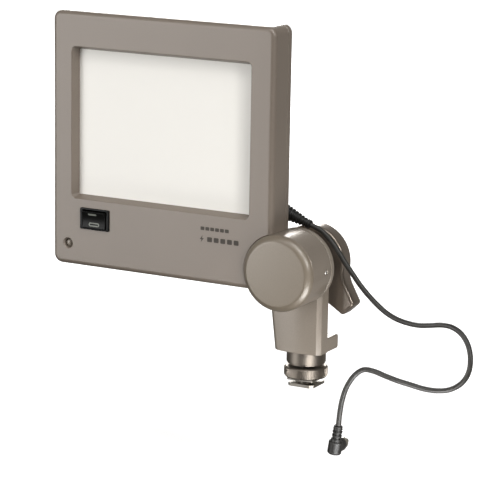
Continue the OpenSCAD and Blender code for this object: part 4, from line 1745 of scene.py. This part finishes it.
@dataclass
class SwingHinge:
    """The barrel that fills the panel's corner, its cap, and the bracket, lever and spacer behind it."""

    cap_edge: float = 4.5 * MM
    cap_crown: float = 0.35 * MM
    cap_fullness: float = 1.3
    cap_thick: float = 5 * MM
    crown_steps: int = 8
    edge_steps: int = 16
    cap_step: float = 0.15 * MM
    spigot_fit: float = 0.1 * MM
    counterbore: float = 9.2 * MM
    bolt_hole: float = 4.1 * MM
    pocket: float = 14 * MM
    rim: float = 0.6 * MM
    steps: int = 144
    flange: float = 4 * MM
    head_radius: float = 19 * MM
    slab_half: float = 17 * MM
    slab_flare: float = 4.5 * MM
    slab_chamfer: float = 2.6 * MM
    slab_crown: float = 1.5 * MM
    slab_steps: int = 12
    slab_rise: float = 3 * MM
    slab_edge: float = 0.45 * MM
    block_height: float = 9.5 * MM
    block_setback: float = 5 * MM
    block_edge: float = 1.3 * MM
    lever_droop: float = 47
    lever_hub: float = 24 * MM
    lever_reach: float = 41 * MM
    lever_tip: float = 6.5 * MM
    lever_corner: float = 2.6 * MM
    lever_meet: float = 40
    lever_pull: float = 8 * MM
    lever_waist: float = 13 * MM
    lever_swell: float = 3 * MM
    lever_edge: float = 2 * MM

    def build_cap(self) -> Object:
        """The domed cap: a nearly flat face, a rounded rim and the spigot that plugs the barrel.

        Returns:
            The cap.
        """
        box = Box.of("hinge_cap")
        radius = box.size.x / 2
        spigot = self.counterbore - self.spigot_fit
        flat = radius - self.cap_edge
        shares = [i / self.crown_steps for i in range(self.crown_steps + 1)]
        profile = [(flat * share, self.cap_crown * share**2) for share in shares]
        for step in range(1, self.edge_steps + 1):
            turn = math.radians(90 * step / self.edge_steps)
            out = math.sin(turn) ** self.cap_fullness
            back = math.cos(turn) ** self.cap_fullness
            profile.append((flat + self.cap_edge * out, self.cap_crown + self.cap_edge * (1 - back)))
        profile += [(radius - self.cap_step, self.cap_thick), (spigot, self.cap_thick)]
        profile += [(spigot, box.size.y), (0, box.size.y)]
        place = along(Axis.Y, (box.mid.x, box.low.y, box.mid.z))
        cap = turned("hinge_cap_dome", profile, place, self.steps)
        return dress(cap, CAP_PAINT, Body.HEAD, ["hinge_cap"], sharp=40)

    def build_barrel(self) -> Object:
        """The knuckle: a bored drum with rounded rims, the set screw's hole and the tongue into the panel.

        Returns:
            The knuckle.
        """
        box = Box.of("head_knuckle")
        radius = box.high.x
        length = box.size.y
        rim = self.rim
        profile = [
            (self.counterbore, 0),
            *arc((radius - rim, rim), rim, -90, 0, 4),
            *arc((radius - rim, length - rim), rim, 0, 90, 4),
            (self.bolt_hole, length),
            (self.bolt_hole, self.pocket),
            (self.counterbore, self.pocket),
        ]
        z = Box.of("hinge_cap").mid.z
        barrel = turned("hinge_barrel", profile, along(Axis.Y, (0, box.low.y, z)), self.steps, closed=True)
        head, thick, half, overlap = 0.9 * MM, 2.6 * MM, 11 * MM, 6 * MM
        top = Box.of("knuckle_screws").high.y - head
        low, high = (box.low.x, top - thick, z - half), (overlap - radius, top, z + half)
        combine(barrel, "UNION", [block("tongue", low, high)])
        screw = Box.of("set_screw")
        bore, mouth, deep, full = 1.6 * MM, 3.1 * MM, 7.5 * MM, 9 * MM
        hole = [(0, 0), (bore, 0), (bore, deep), (mouth, full), (0, full)]
        place = along(Axis.X, (radius - 8 * MM, screw.mid.y, screw.mid.z))
        combine(barrel, "DIFFERENCE", [turned("set_screw_hole", hole, place, TINY_ROUND)])
        return dress(barrel, HINGE_PAINT, Body.HEAD, ["head_knuckle"])

    def build_set_screw(self) -> Object:
        """The small bright screw in the barrel's side, with a domed end and a hexagon socket.

        Returns:
            The screw.
        """
        box = Box.of("set_screw")
        length, radius = box.size.x, box.size.y / 2
        rise, base, key = 1.2 * MM, length - 0.5 * MM, 0.5 * MM
        profile = [
            (0, 0),
            (radius - 0.2 * MM, 0),
            (radius, 0.3 * MM),
            (radius, base),
            *dome(radius, rise, base, 15, 15),
            (0, base + rise),
        ]
        place = along(Axis.X, (box.low.x, box.mid.y, box.mid.z))
        screw = turned("barrel_set_screw", profile, place, TINY_ROUND)
        floor, mouth = length - 0.6 * MM, length + MM
        socket = [(0, floor), (key, floor), (key, mouth), (0, mouth)]
        combine(screw, "DIFFERENCE", [turned("socket", socket, place, 6)])
        return dress(screw, BRIGHT_STEEL, Body.HEAD, ["set_screw"])

    def build_bracket(self) -> Object:
        """The riser: a round flange and head, a slab with a crowned front and chamfers, and the base block.

        Returns:
            The bracket.
        """
        box = Box.of("riser_bracket")
        front, back = box.low.y, Box.of("lever_spacer").low.y
        axis_z = Box.of("hinge_cap").mid.z
        radius = box.high.x
        rim = self.rim
        disc = [
            (0, 0),
            *arc((radius - rim, rim), rim, -90, 0, 4),
            *arc((radius - rim, self.flange - rim), rim, 0, 90, 4),
            (self.head_radius, self.flange),
            *arc((self.head_radius - rim, back - front - rim), rim, 0, 90, 4),
            (0, back - front),
        ]
        bracket = turned("riser_casting", disc, along(Axis.Y, (0, front, axis_z)), self.steps)
        bottom, c, right = box.low.z, self.slab_chamfer, self.slab_half
        flare_z = axis_z - radius + self.slab_rise
        drop = front + self.slab_crown + c
        rings = []
        for z, lean in ((bottom, 0.0), (flare_z, self.slab_flare), (axis_z, 0.0)):
            left = -self.slab_half - lean
            outline = []
            for i in range(self.slab_steps + 1):
                share = i / self.slab_steps
                bow = self.slab_crown * (2 * share - 1) ** 2
                outline.append((left + c + (right - left - 2 * c) * share, front + bow))
            outline += [(right, drop), (right, back), (left, back), (left, drop)]
            rings.append([Vector((x, y, z)) for x, y in outline])
        upright = soften(loft("upright", rings), self.slab_edge, 2)
        low = (-right, front + self.block_setback, bottom)
        foot = block("foot_block", low, (right, box.high.y, bottom + self.block_height))
        soften(foot, self.block_edge)
        combine(bracket, "UNION", [upright, foot])
        end = back - front + MM
        bolt = [(0, -MM), (self.bolt_hole, -MM), (self.bolt_hole, end), (0, end)]
        hole = turned("bolt_hole", bolt, along(Axis.Y, (0, front, axis_z)), SMALL_ROUND)
        combine(bracket, "DIFFERENCE", [hole])
        # Painted light: the bracket's lacquer is painted lighter to offset the barrel's shade on it.
        return dress(bracket, LIGHTENED_BRACKET_PAINT, Body.BASE, ["riser_bracket"])

    def build_lever(self) -> Object:
        """The clamp lever: a round hub and one short arm that narrows to a round-cornered tip.

        Returns:
            The lever.
        """
        box = Box.of("clamp_lever")
        r, tip, reach = self.lever_hub, self.lever_tip, self.lever_reach
        corner, meet, pull = self.lever_corner, self.lever_meet, self.lever_pull
        turn = math.radians(meet)
        hub = Vector((r * math.cos(turn), r * math.sin(turn)))
        leave = hub + Vector((math.sin(turn), -math.cos(turn))) * pull
        arrive = Vector((reach - self.lever_waist, tip + self.lever_swell))
        side = curve(hub, leave, arrive, Vector((reach - corner, tip)))
        outline = arc((0, 0), r, meet, 360 - meet, 76)
        outline += [(x, -z) for x, z in side[1:-1]]
        outline += arc((reach - corner, -tip + corner), corner, -90, 0, 6)
        outline += arc((reach - corner, tip - corner), corner, 0, 90, 6)
        outline += side[-2:0:-1]
        droop = math.radians(-self.lever_droop)
        axis_z = box.high.z - r
        placed = [
            (x * math.cos(droop) - z * math.sin(droop), axis_z + x * math.sin(droop) + z * math.cos(droop))
            for x, z in outline
        ]
        lever = slab("lever_casting", placed, box.low.y, box.high.y)
        soften(lever, self.lever_edge, 5, 60)
        return dress(lever, LEVER_PAINT, Body.LEVER, ["clamp_lever"], sharp=40)

    def build_lever_cap(self) -> Object:
        """The round cover over the lever's nut, with a shallow dished face.

        Returns:
            The cover.
        """
        box = Box.of("lever_cap")
        radius, thick = box.size.x / 2, box.size.y
        edge, brim, dip, dish = 0.7 * MM, 1.8 * MM, 0.25 * MM, 0.35 * MM
        profile = [
            (0, 0),
            (radius, 0),
            *arc((radius - edge, thick - edge), edge, 0, 90, 5),
            (radius - brim, thick - dip),
            (0, thick - dish),
        ]
        cap = turned("lever_cover", profile, along(Axis.Y, (box.mid.x, box.low.y, box.mid.z)))
        return dress(cap, CAP_PAINT, Body.LEVER, ["lever_cap"])

    def build(self) -> None:
        """Builds the hinge's pieces."""
        self.build_cap()
        self.build_barrel()
        self.build_set_screw()
        self.build_bracket()
        self.build_lever()
        self.build_lever_cap()


# --- The camera-shoe foot ---


@dataclass
class ShoeFoot:
    """The stack under the bracket: neck collar, knurled lock ring, pressure plate and foot."""

    edge: float = 0.35 * MM
    bore: float = 5.05 * MM
    collar_step: float = 0.7 * MM
    collar_foot: float = 0.9 * MM
    ring_steps: int = 120
    ring_edge: float = 0.15 * MM
    teeth: int = 84
    tooth: float = 0.3 * MM
    tooth_root: float = 0.2 * MM
    tooth_share: float = 0.72
    tooth_crest: float = 0.35
    chamfer: float = 0.8 * MM
    plate_edge: float = 0.2 * MM

    def build_collar(self) -> Object:
        """The plain round neck, which steps in at its foot.

        Returns:
            The collar.
        """
        box = Box.of("neck_collar")
        radius, tall, e = box.size.x / 2, box.size.z, self.edge
        waist = radius - self.collar_step
        profile = [
            (self.bore, 0),
            (waist, 0),
            (waist, self.collar_foot),
            *arc((radius - e, self.collar_foot + e), e, -90, 0, 3),
            *arc((radius - e, tall - e), e, 0, 90, 3),
            (self.bore, tall),
        ]
        collar = turned("neck_drum", profile, along(Axis.Z, (0, 0, box.low.z)), 96, closed=True)
        return dress(collar, RING_METAL, Body.BASE, ["neck_collar"])

    def build_ring(self) -> None:
        """The lock ring: a chamfered drum, and straight knurling round it."""
        box = Box.of("lock_ring")
        full, tall, c = box.size.x / 2, box.size.z, self.chamfer
        radius = full - self.tooth
        profile = [
            (self.bore, 0),
            (radius - c, 0),
            (radius, c),
            (radius, tall - c),
            (radius - c, tall),
            (self.bore, tall),
        ]
        place = along(Axis.Z, (0, 0, box.low.z))
        drum = turned("lock_ring_drum", profile, place, self.ring_steps, closed=True)
        soften(drum, self.ring_edge, 2, 30)
        dress(drum, RING_METAL, Body.RING, ["lock_ring"])
        half = math.pi * radius / self.teeth * self.tooth_share
        rings = []
        for x, wide, inset in (
            (radius - self.tooth_root, half, c),
            (full, half * self.tooth_crest, c + self.tooth * 2),
        ):
            low, high = box.low.z + inset, box.low.z + (tall - inset)
            corners = ((-wide, low), (wide, low), (wide, high), (-wide, high))
            rings.append([Vector((x, y, z)) for y, z in corners])
        knurl = loft("lock_ring_knurl", rings)
        repeat(knurl, RING_METAL, self.teeth, turn=(0, 0, 2 * math.pi / self.teeth))
        dress(knurl, RING_METAL, Body.RING)

    def build(self) -> None:
        """Builds the foot's pieces."""
        self.build_collar()
        self.build_ring()
        for node, body in (("pressure_plate", Body.PLATE), ("shoe_foot", Body.BASE)):
            dress(refined(node, self.plate_edge), FOOT_METAL, body, [node])


# --- The strain relief and the plug ---


@dataclass
class CordEnds:
    """The outlet on the panel's rear, the ribbed strain relief that leaves it, and the right-angle plug."""

    outlet_edge: float = 2.4 * MM
    outlet_draft: float = 0.4 * MM
    outlet_steps: int = 6
    root_mm: Place = (-16.5, -7, 116.5)
    tip_mm: Place = (4.5, -7, 109)
    root_radius: float = 5 * MM
    tip_radius: float = 3 * MM
    core_share: float = 0.8
    ribs: int = 6
    rib_edge: float = 0.5 * MM
    rib_share: float = 0.3
    first_rib: float = 5.2 * MM
    last_rib: float = 4.4 * MM
    plug_mm: Place = (46.5, -44, -10)
    lean: float = 8
    neck_length: float = 11 * MM
    groove_count: int = 3
    groove_start: float = 2.2 * MM
    groove_pitch: float = 2.6 * MM
    head_radius: float = 4.5 * MM
    head_length: float = 9 * MM
    arm_length: float = 8 * MM

    def build_outlet(self) -> Object:
        """The block on the rear shell that the strain relief plugs into, with generous rounded edges.

        Returns:
            The block.
        """
        box = Box.of("cord_outlet")
        edge = self.outlet_edge
        stations = [(0.0, box.low.y)]
        for i in range(self.outlet_steps + 1):
            turn = math.radians(90 * i / self.outlet_steps)
            inset = self.outlet_draft + edge * (1 - math.cos(turn))
            stations.append((inset, box.high.y - edge * (1 - math.sin(turn))))
        rings = []
        for inset, y in stations:
            low = (box.low.x + inset, box.low.z + inset)
            high = (box.high.x - inset / 2, box.high.z - inset)
            rings.append(at_y(rounded_rect(low, high, edge), y))
        outlet = loft("cord_outlet_block", rings)
        return dress(outlet, REAR_PAINT, Body.HEAD, ["cord_outlet"])

    def build_relief(self) -> list[Object]:
        """The strain relief: a tapered core, ribs round it and a lip at the tip.

        Returns:
            The core and the ribs.
        """
        root, tip = Vector(self.root_mm) * MM, Vector(self.tip_mm) * MM
        along_relief = tip - root
        length = along_relief.length
        place = Matrix.Translation(root) @ along_relief.to_track_quat("Z", "Y").to_matrix().to_4x4()
        thin, edge = self.core_share, self.rib_edge
        tail, tail_radius = 8 * MM, 3.6 * MM
        collar = (1.5 * MM, 1.8 * MM, 3.2 * MM, 3.6 * MM)
        tip_lip = (2.6 * MM, 2.2 * MM)
        profile = [
            (0, -tail),
            (tail_radius, -tail),
            (tail_radius, collar[0]),
            (self.root_radius, collar[1]),
            (self.root_radius, collar[2]),
            (self.root_radius * thin, collar[3]),
            (self.tip_radius * thin, length - tip_lip[0]),
            (self.tip_radius, length - tip_lip[1]),
            *arc((self.tip_radius - edge, length - edge), edge, 0, 90, 4),
            (0, length),
        ]
        core = turned("strain_relief", profile, place, FAIR_ROUND)
        dress(core, BOOT_RUBBER, Body.HEAD, ["cord_boot"])
        first = self.first_rib
        pitch = (length - self.last_rib - first) / (self.ribs - 1)
        start, end = self.root_radius * 0.96, self.tip_radius * 1.02
        width, inside = pitch * self.rib_share, start * thin * 0.9
        section = [
            (inside, -width),
            *arc((start - edge, edge - width), edge, -90, 0, 3),
            *arc((start - edge, width - edge), edge, 0, 90, 3),
            (inside, width),
        ]
        ribs = turned("strain_relief_ribs", section, Matrix.Identity(4), SMALL_ROUND, closed=True)
        growth = (end / start - 1) / (self.ribs - 1)
        repeat(ribs, BOOT_RUBBER, self.ribs, step=(0, 0, pitch), growth=growth)
        ribs.data.transform(place @ Matrix.Translation((0, 0, first)))
        dress(ribs, BOOT_RUBBER, Body.HEAD)
        return [core, ribs]

    def build_plug(self) -> list[Object]:
        """The plug's moulded body, with its metal pieces from the frame.

        Returns:
            The body, the sleeve and the pin.
        """
        place = Matrix.Translation(Vector(self.plug_mm) * MM)
        place = place @ Matrix.Rotation(math.radians(self.lean), 4, "Y")
        neck, head = self.neck_length, self.head_length
        r = self.head_radius
        ridge, deep, step = (3.0 * MM, 3.2 * MM), 2.4 * MM, 0.3 * MM
        grooves = []
        for i in range(self.groove_count):
            z = -self.groove_start - i * self.groove_pitch
            floor = z - 1 * MM
            grooves += [(ridge[0], z), (deep, z - step), (deep, floor), (ridge[1], floor - step)]
        top, shoulder, brim = 0.5 * MM, 0.9 * MM, 1.2 * MM
        profile = [
            (0, 0),
            *arc((2.3 * MM, -top), top, 90, 0, 3),
            *grooves,
            (3.6 * MM, 0.6 * MM - neck),
            *arc((r - shoulder, -neck - 0.2 * MM), shoulder, 90, 0, 4),
            *arc((r - brim, MM + brim - neck - head), brim, 0, -90, 5),
            (0, MM - neck - head),
        ]
        body = turned("plug_moulding", profile, place, FAIR_ROUND)
        reach, edge = self.arm_length, 0.5 * MM
        arm = [(0, 0), (r, 0), *arc((r - edge, reach - edge), edge, 0, 90, 4), (0, reach)]
        side = place @ along(Axis.Y, (0, 0, MM - neck - head / 2))
        combine(body, "UNION", [turned("plug_arm", arm, side, FAIR_ROUND)])
        dress(body, BOOT_RUBBER, Body.BASE, ["plug_body"])
        return [body, frame["nodes"]["plug_sleeve"], frame["nodes"]["plug_pin"]]


# --- The frame's own pieces that show as they are ---

INNER_FINISHES = {
    "reflector_pan": REFLECTOR,
    "flash_tube": TUBE_GLASS,
    "tube_holders": WHITE_PLASTIC,
    "main_board": BOARD,
    "main_capacitors": CAPACITOR,
    "transformer": WINDING,
    "trigger_coil": COIL,
    "sensor_board": BOARD,
    "tact_switch": BLACK_PLASTIC,
    "sensor_holder": GREY_PLASTIC,
    "battery_tray": BLACK_PLASTIC,
    "battery_cells": CELL_JACKET,
    "battery_contacts": NICKEL,
    "door_pin": STEEL,
    "knuckle_screws": STEEL,
    "hinge_bolt": STEEL,
    "spring_washer": DARK_STEEL,
    "friction_washer": DARK_STEEL,
    "lever_spacer": DARK_STEEL,
    "lever_nut": STEEL,
    "foot_pin": STEEL,
    "plug_sleeve": NICKEL,
    "plug_pin": BRASS,
}


def dress_inner() -> None:
    """Gives every CAD node that is still shown its finish."""
    for name, node in frame["nodes"].items():
        if node.hide_render:
            continue
        material = INNER_FINISHES[name].material()
        node.data.materials.clear()
        node.data.materials.append(material)
        log.info("%s keeps its own mesh and takes %s", name, material.name)


# --- The studio ---


@dataclass
class Studio:
    """A pale floor, soft lights and the camera."""

    stand: Place = (0.67865, -1.33104, 0.41709)
    azimuth: float = 28.48
    elevation: float = 12.36
    roll: float = 1.0
    lens: float = 169.07
    sensor: float = 36.0
    swing_room: float = 50 * MM
    floor_half: float = 12.0
    floor_shade: tuple[float, float] = (0.3, 1.0)
    shade_reach: tuple[float, float] = (0.2, 1.6)
    floor_grey: float = 0.85
    room: float = 0.07
    backdrop: float = 0.3
    backdrop_span: tuple[float, float] = (0.35, 0.8)
    room_colour: tuple[float, float, float, float] = (1, 0.95, 0.88, 1)
    middle: Place = (-0.05, 0, 0.12)
    lights: tuple = (
        ("key", (-0.62, -0.77, 0.06), 2.3, (1.3, 1.7), 4.2),
        ("bank", (-0.1, -0.6, 0.8), 2.0, (1.3, 0.7), 2.0),
        ("top", (0.28, -0.3, 0.92), 1.8, (0.8, 0.3), 7.0),
        ("rim_glint", (0.82, -0.42, 0.33), 1.8, (0.24, 0.45), 32.0),
        ("edge_glint", (0.52, -0.45, 0.72), 1.8, (0.4, 0.4), 17.0),
        ("low_card", (0.17, -0.11, -0.17), 0.265, (0.1, 0.08), 13.0),
        ("back", (-0.55, 0.75, 0.45), 2.2, (1.2, 1.0), 11.0),
    )

    def build_camera(self) -> None:
        """Stands the camera in front of the panel, to its right and a little above."""
        data = bpy.data.cameras.new("camera")
        data.lens = self.lens
        data.sensor_width = self.sensor
        data.clip_start, data.clip_end = 0.05, 100.0
        camera = bpy.data.objects.new("camera", data)
        bpy.context.scene.collection.objects.link(camera)
        a, e = math.radians(self.azimuth), math.radians(self.elevation)
        back = Vector((math.sin(a) * math.cos(e), -math.cos(a) * math.cos(e), math.sin(e)))
        camera.rotation_mode = "QUATERNION"
        tilt = Quaternion((0, 0, 1), math.radians(self.roll))
        camera.rotation_quaternion = (-back).to_track_quat("-Z", "Y") @ tilt
        camera.location = self.stand
        bpy.context.scene.camera = camera

    def add_light(
        self,
        name: str,
        toward: Sequence[float],
        distance: float,
        size: Sequence[float],
        glow: float,
    ) -> None:
        """Hangs a soft rectangular light that faces the object.

        Args:
            name: The light's name.
            toward: The direction in which it hangs, from the object.
            distance: How far away it is.
            size: Its width and height.
            glow: Its radiance, which a white surface that fills its view would have.
        """
        data = bpy.data.lights.new(name, "AREA")
        data.shape = "RECTANGLE"
        data.size, data.size_y = size
        data.energy = glow * math.pi * size[0] * size[1]
        light = bpy.data.objects.new(name, data)
        bpy.context.scene.collection.objects.link(light)
        direction = Vector(toward).normalized()
        light.location = Vector(self.middle) + direction * distance
        light.rotation_mode = "QUATERNION"
        light.rotation_quaternion = (-direction).to_track_quat("-Z", "Y")
        light.visible_camera = False

    def build_lights(self) -> None:
        """A broad key from the left, narrow lights that draw the edges, and a low card by the foot."""
        for light in self.lights:
            self.add_light(*light)

    def build_room(self) -> None:
        """The dim warm room that the object reflects, brighter behind it, which the camera sees as white."""
        world = bpy.data.worlds.new("studio")
        bpy.context.scene.world = world
        world.use_nodes = True
        tree = world.node_tree
        tree.nodes.clear()
        facing = add_node(tree, "ShaderNodeTexCoord").outputs["Generated"]
        split = add_node(tree, "ShaderNodeSeparateXYZ", feeds={"Vector": facing})
        behind = add_node(
            tree,
            "ShaderNodeMapRange",
            {
                "From Min": self.backdrop_span[0],
                "From Max": self.backdrop_span[1],
                "To Min": self.room,
                "To Max": self.backdrop,
            },
            {"Value": split.outputs["Y"]},
        )
        walls = add_node(
            tree, "ShaderNodeBackground", {"Color": self.room_colour}, {"Strength": behind.outputs["Result"]}
        )
        white = add_node(tree, "ShaderNodeBackground", {"Color": (1, 1, 1, 1)})
        sight = add_node(tree, "ShaderNodeLightPath").outputs["Is Camera Ray"]
        seen = add_node(
            tree,
            "ShaderNodeMixShader",
            feeds={0: sight, 1: walls.outputs["Background"], 2: white.outputs["Background"]},
        )
        add_node(tree, "ShaderNodeOutputWorld", feeds={"Surface": seen.outputs["Shader"]})
        bpy.context.scene.view_settings.view_transform = "Standard"

    def build_floor(self) -> None:
        """A pale floor, lower than the tipped panel, which whitens with distance and sheds no light."""
        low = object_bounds()[0].z - self.swing_room
        h = self.floor_half
        mesh = bpy.data.meshes.new("floor")
        mesh.from_pydata([(-h, -h, low), (h, -h, low), (h, h, low), (-h, h, low)], [], [(0, 1, 2, 3)])
        floor = bpy.data.objects.new("floor", mesh)
        bpy.context.scene.collection.objects.link(floor)
        floor.visible_diffuse = False
        floor.visible_glossy = False
        floor.visible_shadow = False
        material = bpy.data.materials.new("pale_floor")
        material.use_nodes = True
        tree = material.node_tree
        tree.nodes.clear()
        place = add_node(tree, "ShaderNodeTexCoord").outputs["Object"]
        away = add_node(tree, "ShaderNodeVectorMath", {"operation": "LENGTH"}, {0: place})
        glow = add_node(
            tree,
            "ShaderNodeMapRange",
            {
                "From Min": self.shade_reach[0],
                "From Max": self.shade_reach[1],
                "To Min": self.floor_shade[0],
                "To Max": self.floor_shade[1],
            },
            {"Value": away.outputs["Value"]},
        )
        grey = (self.floor_grey, self.floor_grey, self.floor_grey, 1)
        shader = add_node(
            tree,
            "ShaderNodeBsdfPrincipled",
            {"Base Color": grey, "Roughness": 0.9, "Emission Color": (1, 1, 1, 1)},
            {"Emission Strength": glow.outputs["Result"]},
        )
        add_node(tree, "ShaderNodeOutputMaterial", feeds={"Surface": shader.outputs["BSDF"]})
        mesh.materials.append(material)
        floor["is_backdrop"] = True

    def build(self) -> None:
        """Builds the lights, the room and the floor round the finished object."""
        self.build_lights()
        self.build_room()
        self.build_floor()


def main() -> None:
    """Builds the camera, the cord and every sub-assembly, and then the studio round them."""
    logging.basicConfig(level=logging.INFO, format="%(name)s: %(message)s")
    studio = Studio()
    studio.build_camera()
    sync_cord = SyncCord()
    cord = sync_cord.build()
    ends = CordEnds()
    ends.build_outlet()
    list(ends.build_relief())
    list(ends.build_plug())
    LightPanel().build()
    Controls().build()
    BatteryDoor().build()
    SwingHinge().build()
    ShoeFoot().build()
    dress_inner()
    studio.build()


if __name__ == "__main__":
    main()
